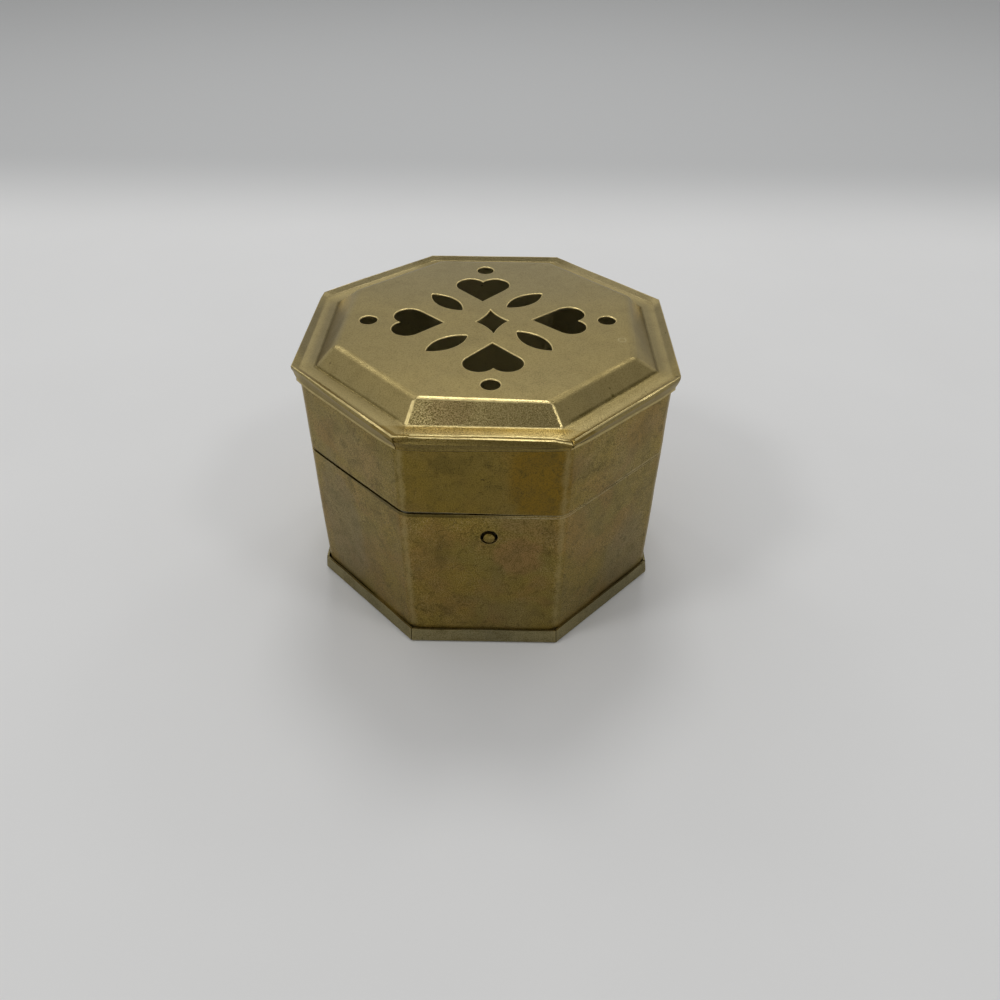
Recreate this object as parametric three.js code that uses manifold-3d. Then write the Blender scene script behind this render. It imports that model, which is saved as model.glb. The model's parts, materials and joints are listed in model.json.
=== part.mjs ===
// Octagonal brass trinket box with a hinged, pierced lid.
// Lengths are in millimetres and +Z is up. The origin is the centre of the face the box stands on,
// the front, with its push button, faces -Y, and the hinge is at the back.

import * as THREE from 'three';
import { mergeVertices } from 'three/addons/utils/BufferGeometryUtils.js';
import Module from 'manifold-3d';

// Driving dimensions of the closed box
const lidAcrossFlats = 84;
const baseInset = 0.2;
const closedHeight = 63;
const lidHeight = 23.7;

// Sheet and strip that the pieces are cut from
const lidSheet = 0.5;
const baseSheet = 0.5;
const bandWall = 0.7;

// Gaps left for solder, for the lid to close, and at the folded corners
const solderGap = 0.1;
const seamGap = 0.3;
const mitreGap = 0.4;

// The two bands of bent strip
const bandSetback = 1.2;
const bandCornerRadius = 4;

// Pressed form of the lid: raised panel, bevel, flat margin, raised bead and folded flaps
const bevelDrop = 3.6;
const bevelRun = 4.3;
const marginWidth = 2.8;
const beadWidth = 2;
const beadRise = 1;
const beadCrestShare = 0.65;
const beadEdgeShare = 0.6;
const lidFlapHeight = 3.8;

// Folded edge of the base
const baseFlapHeight = 4.2;
const baseFoldSize = 0.5;

// Pierced pattern, sawn by hand through the raised panel
const heartLength = 12.1;
const heartWidth = 12.9;
const heartLobeOverlap = 0.45;
const heartTipRadius = 10.2;
const leafLength = 11.2;
const leafWidth = 4.7;
const leafCentreRadius = 13.65;
const dotRadius = 2;
const heartToDot = 3;
const diamondHalfWidth = 3.6;
const diamondHalfDepth = 5.5;
const diamondWaistShare = 0.36;
const diamondSetRight = 0.9;
const diamondTurn = 5;

// How far, in degrees, the saw strayed from true: the right, back, left and front quarter.
// A swing moves a motif round the lid's centre, and a lean then turns it on its own middle.
const sawnQuarters = [
  { heartLengthShare: 1, heartSwing: 3.5, heartLean: -3.4, dotSwing: 2.5, leafSwing: 6.7, leafLean: -10.3 },
  { heartLengthShare: 1, heartSwing: 5.8, heartLean: -4.8, dotSwing: 2.7, leafSwing: 2, leafLean: -3.8 },
  { heartLengthShare: 0.95, heartSwing: 3.5, heartLean: -3.1, dotSwing: 0.8, leafSwing: 5, leafLean: -10.5 },
  { heartLengthShare: 1, heartSwing: 5, heartLean: -3, dotSwing: 2.4, leafSwing: 4.4, leafLean: -6.7 },
];

// Hinge: two leaves of bent sheet, five knuckles and one pin
const hingeLength = 24;
const knuckleCount = 5;
const knuckleGap = 0.15;
const barrelRadius = 1.6;
const pinRadius = 0.7;
const pinClearance = 0.08;
const pinHeadRadius = 1.2;
const pinHeadLength = 0.4;
const leafSheet = 0.6;
const leafHeight = 8;
const leafStandoff = 0.15;
const notchClearance = 0.25;

// The four rivets of the hinge
const shankRadius = 0.8;
const shankClearance = 0.1;
const rivetSeatGap = 0.1;
const headRadius = 1.4;
const headHeight = 0.5;
const tailRadius = 1.3;
const tailHeight = 0.35;
const hingeRivetSpacing = 14;
const hingeRivetFromPin = 5;

// Catch: a push button riveted to a springy strip, whose foot is soldered inside the front wall
const buttonBelowSeam = 6;
const buttonSetRight = 1.2;
const buttonRadius = 1.23;
const buttonProud = 0.5;
const buttonEdge = 0.15;
const buttonHoleRadius = 1.9;
const buttonShankRadius = 0.7;
const buttonTailRadius = 1.1;
const springSheet = 0.4;
const springWidth = 8;
const springArm = 18.3;
const springFootHeight = 6;
const springFootGap = 0.2;
const springJogHeight = 2;

// The strip's bent end snaps over a rod soldered inside the lid's front wall
const keeperRadius = 0.5;
const keeperLength = 9;
const keeperInset = 0.4;
const springClearance = 0.25;
const biteGap = 0.2;
const biteDepth = 0.6;
const biteLean = 30;
const tipHeight = 1.2;
const tipLean = 38;

// Working values of the modelling
const octagonSides = 8;
const roundSteps = 24;
const cornerSteps = 3;
const curveSteps = 8;
const cutOverrun = 2;
const weldDistance = 0.0001;

// Sizes worked out from the ones above
const eighthTurn = Math.PI / octagonSides;
const baseAcrossFlats = lidAcrossFlats - 2 * baseInset;
const lidRim = lidAcrossFlats / 2;
const baseRim = baseAcrossFlats / 2;
const seamHeight = closedHeight - lidHeight;
const bandFace = lidRim - bandSetback;
const bandInside = bandFace - bandWall;
const marginTop = closedHeight - bevelDrop;
const beadCrest = marginTop + beadRise;
const bodyBandBottom = baseSheet + solderGap;
const bodyBandTop = seamHeight - seamGap / 2;
const lidBandBottom = seamHeight + seamGap / 2;
const lidBandTop = marginTop - lidSheet - solderGap;
const pinY = bandFace + leafStandoff + barrelRadius;
const leafInnerY = bandFace + leafStandoff;
const leafOuterY = leafInnerY + leafSheet;
const boreRadius = pinRadius + pinClearance;
const holeRadius = shankRadius + shankClearance;
const knucklePitch = (hingeLength + knuckleGap) / knuckleCount;
const heartLobeRadius = (heartWidth / 2 + heartLobeOverlap) / 2;
const dotCentreRadius = heartTipRadius + heartLength + heartToDot + dotRadius;
const buttonHeight = seamHeight - buttonBelowSeam;
const keeperY = -bandInside + solderGap + keeperRadius;
const keeperHeight = lidBandBottom + keeperInset + keeperRadius;
const springFace = keeperY + keeperRadius + springClearance;

const wasm = await Module();
wasm.setup();

// Turns degrees into radians.
function degrees(angle) {
  return THREE.MathUtils.degToRad(angle);
}

// Joins a geometry's shared corners and leaves out the flat slivers on a lathe's axis.
function welded(geometry) {
  geometry.deleteAttribute('normal');
  geometry.deleteAttribute('uv');
  const joined = mergeVertices(geometry, weldDistance);
  const corners = joined.index.array;
  const kept = [];
  for (let i = 0; i < corners.length; i += 3) {
    const [a, b, c] = [corners[i], corners[i + 1], corners[i + 2]];
    if (a !== b && b !== c && c !== a) kept.push(a, b, c);
  }
  joined.setIndex(kept);
  return joined;
}

// Makes a solid that can be joined and cut.
function solid(geometry) {
  const closed = welded(geometry);
  return new wasm.Manifold(new wasm.Mesh({
    numProp: 3,
    vertProperties: new Float32Array(closed.attributes.position.array),
    triVerts: new Uint32Array(closed.index.array),
  }));
}

// Turns a cut solid back into a geometry.
function geometryOf(shape) {
  const mesh = shape.getMesh();
  const geometry = new THREE.BufferGeometry();
  geometry.setAttribute('position', new THREE.BufferAttribute(new Float32Array(mesh.vertProperties), 3));
  geometry.setIndex(new THREE.BufferAttribute(new Uint32Array(mesh.triVerts), 1));
  const faceted = geometry.toNonIndexed();
  faceted.computeVertexNormals();
  return faceted;
}

// Cuts a list of solids out of a solid.
function cut(shape, cutters) {
  return cutters.reduce((rest, cutter) => rest.subtract(cutter), shape);
}

// Moves an outline of [distance from the axis, height] points to its left by the sheet's thickness.
function offsetLine(points, thickness) {
  const lines = points.slice(1).map(([x, z], i) => {
    const [fromX, fromZ] = points[i];
    const length = Math.hypot(x - fromX, z - fromZ);
    const along = [(x - fromX) / length, (z - fromZ) / length];
    const start = [fromX - along[1] * thickness, fromZ + along[0] * thickness];
    return { start, along, length };
  });
  const last = lines[lines.length - 1];
  const corners = lines.slice(1).map((next, i) => {
    const { start, along } = lines[i];
    const cross = along[0] * next.along[1] - along[1] * next.along[0];
    const gapX = next.start[0] - start[0];
    const gapZ = next.start[1] - start[1];
    const reach = (gapX * next.along[1] - gapZ * next.along[0]) / cross;
    return [start[0] + along[0] * reach, start[1] + along[1] * reach];
  });
  const end = [last.start[0] + last.along[0] * last.length, last.start[1] + last.along[1] * last.length];
  return [lines[0].start, ...corners, end];
}

// Sweeps a closed outline of [distance to the flat, height] points round the eight sides.
function octagonal(outline) {
  const toCorner = 1 / Math.cos(eighthTurn);
  const profile = outline.map(([apothem, height]) => new THREE.Vector2(apothem * toCorner, height));
  const geometry = new THREE.LatheGeometry(profile, octagonSides, eighthTurn);
  geometry.rotateX(Math.PI / 2);
  return geometry;
}

// Extrudes a flat shape upwards between two heights.
function prism(shape, bottom, top) {
  const geometry = new THREE.ExtrudeGeometry(shape, {
    depth: top - bottom, bevelEnabled: false, curveSegments: curveSteps,
  });
  geometry.translate(0, 0, bottom);
  return geometry;
}

// A box between two corners.
function block([lowX, lowY, lowZ], [highX, highY, highZ]) {
  const geometry = new THREE.BoxGeometry(highX - lowX, highY - lowY, highZ - lowZ);
  geometry.translate((lowX + highX) / 2, (lowY + highY) / 2, (lowZ + highZ) / 2);
  return geometry;
}

// A round solid turned about the Y axis from [radius, place along Y] points.
function turned(profile) {
  return new THREE.LatheGeometry(profile.map(([r, along]) => new THREE.Vector2(r, along)), roundSteps);
}

// A round bar along X between two places.
function barAlongX(radius, from, to, y, z) {
  const geometry = new THREE.CylinderGeometry(radius, radius, to - from, roundSteps);
  geometry.rotateZ(-Math.PI / 2);
  geometry.translate((from + to) / 2, y, z);
  return geometry;
}

// A round bar along Y between two places.
function barAlongY(radius, from, to, x, z) {
  const geometry = new THREE.CylinderGeometry(radius, radius, to - from, roundSteps);
  geometry.translate(x, (from + to) / 2, z);
  return geometry;
}

// A slot down each of the eight corners of a folded edge, between two heights.
function mitreSlots(rim, bottom, top) {
  const cornerReach = rim / Math.cos(eighthTurn);
  return Array.from({ length: octagonSides }, (unused, i) => {
    const slot = block(
      [bandFace, -mitreGap / 2, bottom],
      [cornerReach + cutOverrun, mitreGap / 2, top],
    );
    slot.rotateZ((2 * i + 1) * eighthTurn);
    return solid(slot);
  });
}

// Octagon with round corners, given as the distance from its centre to a side.
function roundedOctagon(PathClass, apothem, radius) {
  const path = new PathClass();
  const centreRadius = (apothem - radius) / Math.cos(eighthTurn);
  for (let i = 0; i < octagonSides; i += 1) {
    const angle = (2 * i + 1) * eighthTurn;
    const x = centreRadius * Math.cos(angle);
    const y = centreRadius * Math.sin(angle);
    path.absarc(x, y, radius, angle - eighthTurn, angle + eighthTurn, false);
  }
  path.closePath();
  return path;
}

// One of the two bands: strip bent round the octagon and soldered into a ring.
function band(bottom, top) {
  const outline = roundedOctagon(THREE.Shape, bandFace, bandCornerRadius);
  outline.holes.push(roundedOctagon(THREE.Path, bandInside, bandCornerRadius - bandWall));
  const geometry = new THREE.ExtrudeGeometry(outline, {
    depth: top - bottom, bevelEnabled: false, curveSegments: cornerSteps,
  });
  geometry.translate(0, 0, bottom);
  return solid(geometry);
}

// Heart with its tip at the origin and its lobes along +X.
function heartShape(length) {
  const lobeX = length - heartLobeRadius;
  const lobeY = heartWidth / 2 - heartLobeRadius;
  const toLobe = Math.hypot(lobeX, lobeY);
  const side = Math.atan2(lobeY, lobeX) + Math.asin(heartLobeRadius / toLobe);
  const notch = Math.asin(lobeY / heartLobeRadius);
  const start = -side - Math.PI / 2;
  const heart = new THREE.Shape();
  heart.moveTo(0, 0);
  heart.lineTo(lobeX + heartLobeRadius * Math.cos(start), -lobeY + heartLobeRadius * Math.sin(start));
  heart.absarc(lobeX, -lobeY, heartLobeRadius, start, notch, false);
  heart.absarc(lobeX, lobeY, heartLobeRadius, -notch, side + Math.PI / 2, false);
  heart.closePath();
  return heart;
}

// Pointed leaf of two arcs, with its middle at the origin and its points along X.
function leafShape() {
  const arcRadius = (leafLength ** 2 + leafWidth ** 2) / (4 * leafWidth);
  const halfAngle = Math.asin(leafLength / 2 / arcRadius);
  const offset = arcRadius - leafWidth / 2;
  const leaf = new THREE.Shape();
  leaf.absarc(0, offset, arcRadius, -Math.PI / 2 - halfAngle, -Math.PI / 2 + halfAngle, false);
  leaf.absarc(0, -offset, arcRadius, Math.PI / 2 - halfAngle, Math.PI / 2 + halfAngle, false);
  leaf.closePath();
  return leaf;
}

// Round hole.
function dotShape() {
  const dot = new THREE.Shape();
  dot.absarc(0, 0, dotRadius, 0, 2 * Math.PI, false);
  return dot;
}

// Four-pointed star with sides drawn in, deeper than it is wide.
function diamondShape() {
  const waistX = diamondHalfWidth * diamondWaistShare;
  const waistY = diamondHalfDepth * diamondWaistShare;
  const diamond = new THREE.Shape();
  diamond.moveTo(diamondHalfWidth, 0);
  diamond.quadraticCurveTo(waistX, waistY, 0, diamondHalfDepth);
  diamond.quadraticCurveTo(-waistX, waistY, -diamondHalfWidth, 0);
  diamond.quadraticCurveTo(-waistX, -waistY, 0, -diamondHalfDepth);
  diamond.quadraticCurveTo(waistX, -waistY, diamondHalfWidth, 0);
  return diamond;
}

// A saw cut through the panel: turned on its middle, moved out and swung round the lid.
function sawn(shape, middle, radius, swing, lean) {
  const bottom = closedHeight - lidSheet - cutOverrun;
  const geometry = prism(shape, bottom, closedHeight + cutOverrun);
  geometry.translate(-middle, 0, 0);
  geometry.rotateZ(degrees(lean));
  geometry.translate(radius, 0, 0);
  geometry.rotateZ(degrees(swing));
  return solid(geometry);
}

// All the pierced holes: four hearts, leaves and dots round a diamond.
function piercing() {
  const quarterTurn = 90;
  const holes = sawnQuarters.flatMap((stray, i) => {
    const across = quarterTurn * i;
    const diagonal = across + quarterTurn / 2;
    const length = heartLength * stray.heartLengthShare;
    const heart = heartShape(length);
    return [
      sawn(heart, length / 2, heartTipRadius + length / 2, across + stray.heartSwing, stray.heartLean),
      sawn(leafShape(), 0, leafCentreRadius, diagonal + stray.leafSwing, stray.leafLean),
      sawn(dotShape(), 0, dotCentreRadius, across + stray.dotSwing, 0),
    ];
  });
  return [...holes, sawn(diamondShape(), 0, diamondSetRight, 0, diamondTurn)];
}

// Lid top: one sheet with a raised panel, pierced, its edge beaded and folded down in eight flaps.
function lidPlate() {
  const footApothem = lidRim - beadWidth - marginWidth;
  const flapEdge = bandFace + solderGap + lidSheet;
  const beadEdgeHeight = marginTop + beadRise * beadEdgeShare;
  const flapBottom = beadEdgeHeight - lidFlapHeight;
  const topSide = [
    [flapEdge, flapBottom],
    [lidRim, beadEdgeHeight],
    [lidRim - beadWidth * (1 - beadCrestShare), beadCrest],
    [lidRim - beadWidth, marginTop],
    [footApothem, marginTop],
    [footApothem - bevelRun, closedHeight],
    [0, closedHeight],
  ];
  const underside = offsetLine(topSide, lidSheet).reverse();
  const sheet = solid(octagonal([...underside, ...topSide]));
  const slots = mitreSlots(lidRim, flapBottom - cutOverrun, marginTop - lidSheet);
  return cut(sheet, [...slots, ...piercing()]);
}

// Base: a flat octagon of sheet with its edge folded up round the body in eight flaps.
function basePlate() {
  const flapEdge = bandFace + solderGap + baseSheet;
  const outside = [
    [0, 0],
    [baseRim - baseFoldSize, 0],
    [baseRim, baseFoldSize],
    [flapEdge, baseFlapHeight],
  ];
  const inside = offsetLine(outside, baseSheet).reverse();
  const sheet = solid(octagonal([...outside, ...inside]));
  return cut(sheet, mitreSlots(baseRim, baseSheet, baseFlapHeight + cutOverrun));
}

// Where the hinge's rivets sit across the back.
const hingeRivetPlaces = { left: -hingeRivetSpacing / 2, right: hingeRivetSpacing / 2 };

// Clearance holes through a leaf and the wall behind it.
function hingeRivetHoles(z) {
  return Object.values(hingeRivetPlaces).map((x) => solid(
    barAlongY(holeRadius, bandInside - cutOverrun, leafOuterY + cutOverrun, x, z),
  ));
}

// Lower walls, with holes for the hinge's rivets and the wide hole that the push button moves in.
function bodyBand() {
  const buttonHole = barAlongY(
    buttonHoleRadius, -bandFace - cutOverrun, -bandInside + cutOverrun, buttonSetRight, buttonHeight,
  );
  return cut(band(bodyBandBottom, bodyBandTop), [
    ...hingeRivetHoles(seamHeight - hingeRivetFromPin),
    solid(buttonHole),
  ]);
}

// Upper walls, which go up with the lid.
function lidBand() {
  return cut(band(lidBandBottom, lidBandTop), hingeRivetHoles(seamHeight + hingeRivetFromPin));
}

// Knuckles are counted from the left, and the body has the first, third and fifth.
const knuckles = Array.from({ length: knuckleCount }, (unused, i) => i);
const bodyKnuckles = knuckles.filter((i) => i % 2 === 0);
const lidKnuckles = knuckles.filter((i) => i % 2 === 1);

// The stretch of the barrel that one knuckle takes.
function knuckleSpan(i) {
  const from = -hingeLength / 2 + i * knucklePitch;
  return [from, from + knucklePitch - knuckleGap];
}

// A hinge leaf: a plate above or below the pin, and the knuckles that its edge is rolled into.
function hingeLeaf(side, ownKnuckles) {
  const edges = [seamHeight, seamHeight + side * leafHeight].sort((a, b) => a - b);
  const reach = barrelRadius + notchClearance;
  const plate = solid(block(
    [-hingeLength / 2, leafInnerY, edges[0]],
    [hingeLength / 2, leafOuterY, edges[1]],
  ));
  const notches = knuckles.filter((i) => !ownKnuckles.includes(i)).map((i) => {
    const [from, to] = knuckleSpan(i);
    const start = i === 0 ? from - cutOverrun : from - knuckleGap;
    const end = i === knuckleCount - 1 ? to + cutOverrun : to + knuckleGap;
    return solid(block(
      [start, leafInnerY - cutOverrun, seamHeight - reach],
      [end, leafOuterY + cutOverrun, seamHeight + reach],
    ));
  });
  const boreEnd = hingeLength / 2 + cutOverrun;
  const bore = solid(barAlongX(boreRadius, -boreEnd, boreEnd, pinY, seamHeight));
  const withKnuckles = ownKnuckles.reduce(
    (leaf, i) => leaf.add(solid(barAlongX(barrelRadius, ...knuckleSpan(i), pinY, seamHeight))),
    cut(plate, notches),
  );
  return cut(withKnuckles, [bore, ...hingeRivetHoles(seamHeight + side * hingeRivetFromPin)]);
}

// Hinge pin with a peened head at each end.
function hingePin() {
  const shoulder = hingeLength / 2 + knuckleGap;
  const end = shoulder + pinHeadLength;
  const pin = turned([
    [0, -end], [pinHeadRadius, -end], [pinHeadRadius, -shoulder], [pinRadius, -shoulder],
    [pinRadius, shoulder], [pinHeadRadius, shoulder], [pinHeadRadius, end], [0, end],
  ]);
  pin.rotateZ(-Math.PI / 2);
  pin.translate(0, pinY, seamHeight);
  return solid(pin);
}

// Hinge rivet: domed head on the leaf, tail spread on the inside of the wall.
function hingeRivet(x, z) {
  const tailTop = bandInside - rivetSeatGap;
  const headBottom = leafOuterY + rivetSeatGap;
  const domeSteps = 3;
  const dome = Array.from({ length: domeSteps + 1 }, (unused, i) => {
    const angle = (i / domeSteps) * Math.PI / 2;
    return [headRadius * Math.cos(angle), headBottom + headHeight * Math.sin(angle)];
  });
  const rivet = turned([
    [0, tailTop - tailHeight], [tailRadius, tailTop - tailHeight], [tailRadius, tailTop],
    [shankRadius, tailTop], [shankRadius, headBottom], ...dome.slice(0, -1), [0, headBottom + headHeight],
  ]);
  rivet.translate(x, 0, z);
  return solid(rivet);
}

// Spring strip seen from the side: foot on the wall, jog inwards, blade, bend over the rod, and tip.
// The bend's lower leg passes the rod at the bite gap, and leans so that it rides off the rod.
function springSide() {
  const footY = -bandInside + springFootGap;
  const footMiddle = buttonHeight - springArm;
  const footTop = footMiddle + springFootHeight / 2;
  const lean = degrees(biteLean);
  const passY = keeperY + (keeperRadius + biteGap) * Math.cos(lean);
  const passZ = keeperHeight + (keeperRadius + biteGap) * Math.sin(lean);
  const legHeightAt = (y) => passZ + (passY - y) / Math.tan(lean);
  const crestY = keeperY + keeperRadius - biteDepth;
  const crestZ = legHeightAt(crestY);
  const front = [
    [footY, footMiddle - springFootHeight / 2],
    [footY, footTop],
    [springFace, footTop + springJogHeight],
    [springFace, legHeightAt(springFace)],
    [crestY, crestZ],
    [crestY + tipHeight * Math.tan(degrees(tipLean)), crestZ + tipHeight],
  ];
  return [...front, ...offsetLine(front, -springSheet).reverse()];
}

// The spring strip, with the hole that the button is riveted through.
function catchSpring() {
  const side = new THREE.Shape(springSide().map(([y, z]) => new THREE.Vector2(y, z)));
  const strip = new THREE.ExtrudeGeometry(side, { depth: springWidth, bevelEnabled: false });
  strip.rotateX(Math.PI / 2);
  strip.rotateZ(Math.PI / 2);
  strip.translate(buttonSetRight - springWidth / 2, 0, 0);
  const hole = barAlongY(
    buttonShankRadius + shankClearance, springFace - cutOverrun, springFace + springSheet + cutOverrun,
    buttonSetRight, buttonHeight,
  );
  return cut(solid(strip), [solid(hole)]);
}

// Push button: a stud that stands a little proud of the wall, its tail spread behind the strip.
function catchButton() {
  const face = -bandFace - buttonProud;
  const seat = springFace - rivetSeatGap;
  const tailFront = springFace + springSheet + rivetSeatGap;
  const stud = turned([
    [0, face], [buttonRadius - buttonEdge, face], [buttonRadius, face + buttonEdge],
    [buttonRadius, seat], [buttonShankRadius, seat], [buttonShankRadius, tailFront],
    [buttonTailRadius, tailFront], [buttonTailRadius, tailFront + tailHeight],
    [0, tailFront + tailHeight],
  ]);
  stud.translate(buttonSetRight, 0, buttonHeight);
  return solid(stud);
}

// Rod soldered across the inside of the lid's front wall, which the spring strip holds down.
function keeperRod() {
  const left = buttonSetRight - keeperLength / 2;
  return solid(barAlongX(keeperRadius, left, left + keeperLength, keeperY, keeperHeight));
}

// Finishes: aged brass, a little lighter on the lid and darker inside
const lidBrass = new THREE.MeshStandardMaterial({ color: 0x9a8a52, roughness: 0.42, metalness: 1 });
const wallBrass = new THREE.MeshStandardMaterial({ color: 0x83713f, roughness: 0.5, metalness: 1 });
const baseBrass = new THREE.MeshStandardMaterial({ color: 0x6d6541, roughness: 0.55, metalness: 1 });
const hingeBrass = new THREE.MeshStandardMaterial({ color: 0x8f7c45, roughness: 0.45, metalness: 1 });
const springBrass = new THREE.MeshStandardMaterial({ color: 0xa08b4c, roughness: 0.4, metalness: 1 });

// Names a solid and gives it its finish.
function piece(name, shape, material) {
  const mesh = new THREE.Mesh(geometryOf(shape), material);
  mesh.name = name;
  return mesh;
}

const body = new THREE.Group();
body.add(
  piece('body_band', bodyBand(), wallBrass),
  piece('base_plate', basePlate(), baseBrass),
  piece('body_hinge_leaf', hingeLeaf(-1, bodyKnuckles), hingeBrass),
  piece('hinge_pin', hingePin(), hingeBrass),
);

const lid = new THREE.Group();
lid.add(
  piece('lid_plate', lidPlate(), lidBrass),
  piece('lid_band', lidBand(), wallBrass),
  piece('lid_hinge_leaf', hingeLeaf(1, lidKnuckles), hingeBrass),
  piece('keeper_rod', keeperRod(), springBrass),
);

const latch = new THREE.Group();
latch.add(
  piece('catch_spring', catchSpring(), springBrass),
  piece('catch_button', catchButton(), wallBrass),
);

for (const [place, x] of Object.entries(hingeRivetPlaces)) {
  body.add(piece(`body_hinge_rivet_${place}`, hingeRivet(x, seamHeight - hingeRivetFromPin), hingeBrass));
  lid.add(piece(`lid_hinge_rivet_${place}`, hingeRivet(x, seamHeight + hingeRivetFromPin), hingeBrass));
}

const group = new THREE.Group();
group.add(body, lid, latch);

export default group;
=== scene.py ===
# %% [markdown]
# Brass trinket box
#
# The real thing is a small octagonal keepsake box of thin brass sheet, soldered and folded by hand.
# Its lid is pressed into a raised panel, pierced with hearts and leaves, and hinged at the back.
# The working model already fixes every size and joint, so this lesson adds the looks round it:
# thin sheet with soft bends, folded rims, rolled hinge knuckles and an aged, handled finish.

import json
import math

import bmesh
import bpy
from mathutils import Matrix, Vector, noise


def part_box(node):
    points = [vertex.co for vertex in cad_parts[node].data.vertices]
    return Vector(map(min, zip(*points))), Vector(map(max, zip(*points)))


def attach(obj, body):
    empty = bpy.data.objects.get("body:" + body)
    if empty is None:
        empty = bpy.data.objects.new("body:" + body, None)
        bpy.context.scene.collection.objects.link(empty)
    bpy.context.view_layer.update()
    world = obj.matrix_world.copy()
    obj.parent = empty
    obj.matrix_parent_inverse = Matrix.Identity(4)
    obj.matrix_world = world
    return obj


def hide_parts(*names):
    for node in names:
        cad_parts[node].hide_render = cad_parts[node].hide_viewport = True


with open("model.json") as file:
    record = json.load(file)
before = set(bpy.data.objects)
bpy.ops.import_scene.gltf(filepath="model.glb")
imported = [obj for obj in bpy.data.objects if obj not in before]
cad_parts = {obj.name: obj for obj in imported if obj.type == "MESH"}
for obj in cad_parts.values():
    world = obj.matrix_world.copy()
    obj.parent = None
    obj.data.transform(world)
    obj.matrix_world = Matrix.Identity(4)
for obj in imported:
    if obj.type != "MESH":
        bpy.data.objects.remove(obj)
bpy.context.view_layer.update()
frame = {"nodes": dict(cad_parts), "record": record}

# %% [markdown]
# Sizes
#
# Every piece sits where the working model puts it, so its places are read from the model's boxes.
# Only the sizes that those boxes can't tell, such as a sheet's thickness, are written here.
# The eight sides are numbered anticlockwise from the right one, which makes the front side 6.

# %% Sizes read from the model
mm = 0.001
sides = 8
half_side_turn = math.pi / sides
to_corner = 1 / math.cos(half_side_turn)
front_left, front, front_right = 5, 6, 7

lid_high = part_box("lid_plate")[1]
base_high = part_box("base_plate")[1]
lid_band_low, lid_band_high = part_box("lid_band")
body_band_low, body_band_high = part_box("body_band")
lid_rim = lid_high.x
lid_top = lid_high.z
wall_face = body_band_high.x
seam_height = (body_band_high.z + lid_band_low.z) / 2
print("rim", lid_rim, "top", lid_top, "wall", wall_face, "seam", seam_height)

# %% Sizes of the sheets and of the pressed lid
lid_sheet = 0.5 * mm
base_sheet = 0.5 * mm
band_wall = 0.7 * mm
bevel_drop = 3.6 * mm
bevel_run = 4.3 * mm
margin_width = 2.8 * mm
bead_width = 2 * mm
margin_top = lid_top - bevel_drop
margin_end = lid_rim - bead_width
bevel_foot = margin_end - margin_width
panel_edge = bevel_foot - bevel_run
print("panel", panel_edge, "bevel foot", bevel_foot, "margin end", margin_end)

# %% [markdown]
# Camera
#
# The picture was taken by hand from in front and above, looking down at forty degrees.
# The place, tilt and focal length below were found by fitting the box's corners as a pinhole view.

# %% Camera
image_side = 1000
focal_length_pixels = 795
sensor_width = 36
nearest_seen = 5 * mm
camera_place = Vector((3.852, -165.397, 148.651)) * mm
camera_pitch = math.radians(40.063)
camera_yaw = math.radians(0.194)
camera_roll = math.radians(0.798)
scene = bpy.context.scene


def turned_about(axis, turn):
    return Matrix.Rotation(turn, 4, axis)


def linked(name, data):
    """A new object in the scene, round a mesh, a lamp or a camera."""
    made = bpy.data.objects.new(name, data)
    scene.collection.objects.link(made)
    return made


camera = linked("camera", bpy.data.cameras.new("camera"))
scene.camera = camera
camera.data.sensor_width = sensor_width
camera.data.lens = focal_length_pixels / image_side * sensor_width
camera.data.clip_start = nearest_seen
tilt = turned_about("Z", camera_yaw) @ turned_about("X", math.pi / 2 - camera_pitch)
camera.matrix_world = Matrix.Translation(camera_place) @ tilt @ turned_about("Z", camera_roll)
print("lens", round(camera.data.lens, 2), "mm")

# %% [markdown]
# Shader maths as Python
#
# A finish is a small network of nodes. Written node by node it is long and hard to follow, so a
# socket is wrapped in a class whose operators add the Math nodes. Its rise makes most of the masks:
# it climbs smoothly from 0 at low to 1 at high, or falls where low is the larger.

# %% A socket that can be added and multiplied
class Wire:
    """A value in a node tree, which takes part in sums."""

    def __init__(self, finish, socket):
        self.finish = finish
        self.socket = socket

    def math(self, operation, other=0.0, clamp=False):
        settings = {"operation": operation, "use_clamp": clamp}
        return self.finish.node("ShaderNodeMath", settings, {0: self, 1: other})

    def __add__(self, other):
        return self.math("ADD", other)

    def __sub__(self, other):
        return self.math("SUBTRACT", other)

    def __rsub__(self, other):
        return self.finish.node("ShaderNodeMath", {"operation": "SUBTRACT"}, {0: other, 1: self})

    def __mul__(self, other):
        return self.math("MULTIPLY", other)

    def __abs__(self):
        return self.math("ABSOLUTE")

    __radd__ = __add__
    __rmul__ = __mul__

    def clamped(self):
        return self.math("ADD", 0.0, clamp=True)

    def rise(self, low, high):
        inputs = {"Value": self, "From Min": low, "From Max": high}
        return self.finish.node("ShaderNodeMapRange", {"interpolation_type": "SMOOTHSTEP"}, inputs)


print("a wire has", len(vars(Wire)), "attributes")

# %% [markdown]
# Node trees
#
# Any other node comes from one method, which sets a node's own settings first and then fills or
# links its sockets. On top of it sit the few things that a finish is made of: a noise, a mix of two
# colours, and vector maths. The same class fills the world, which has no place but a direction.

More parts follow.
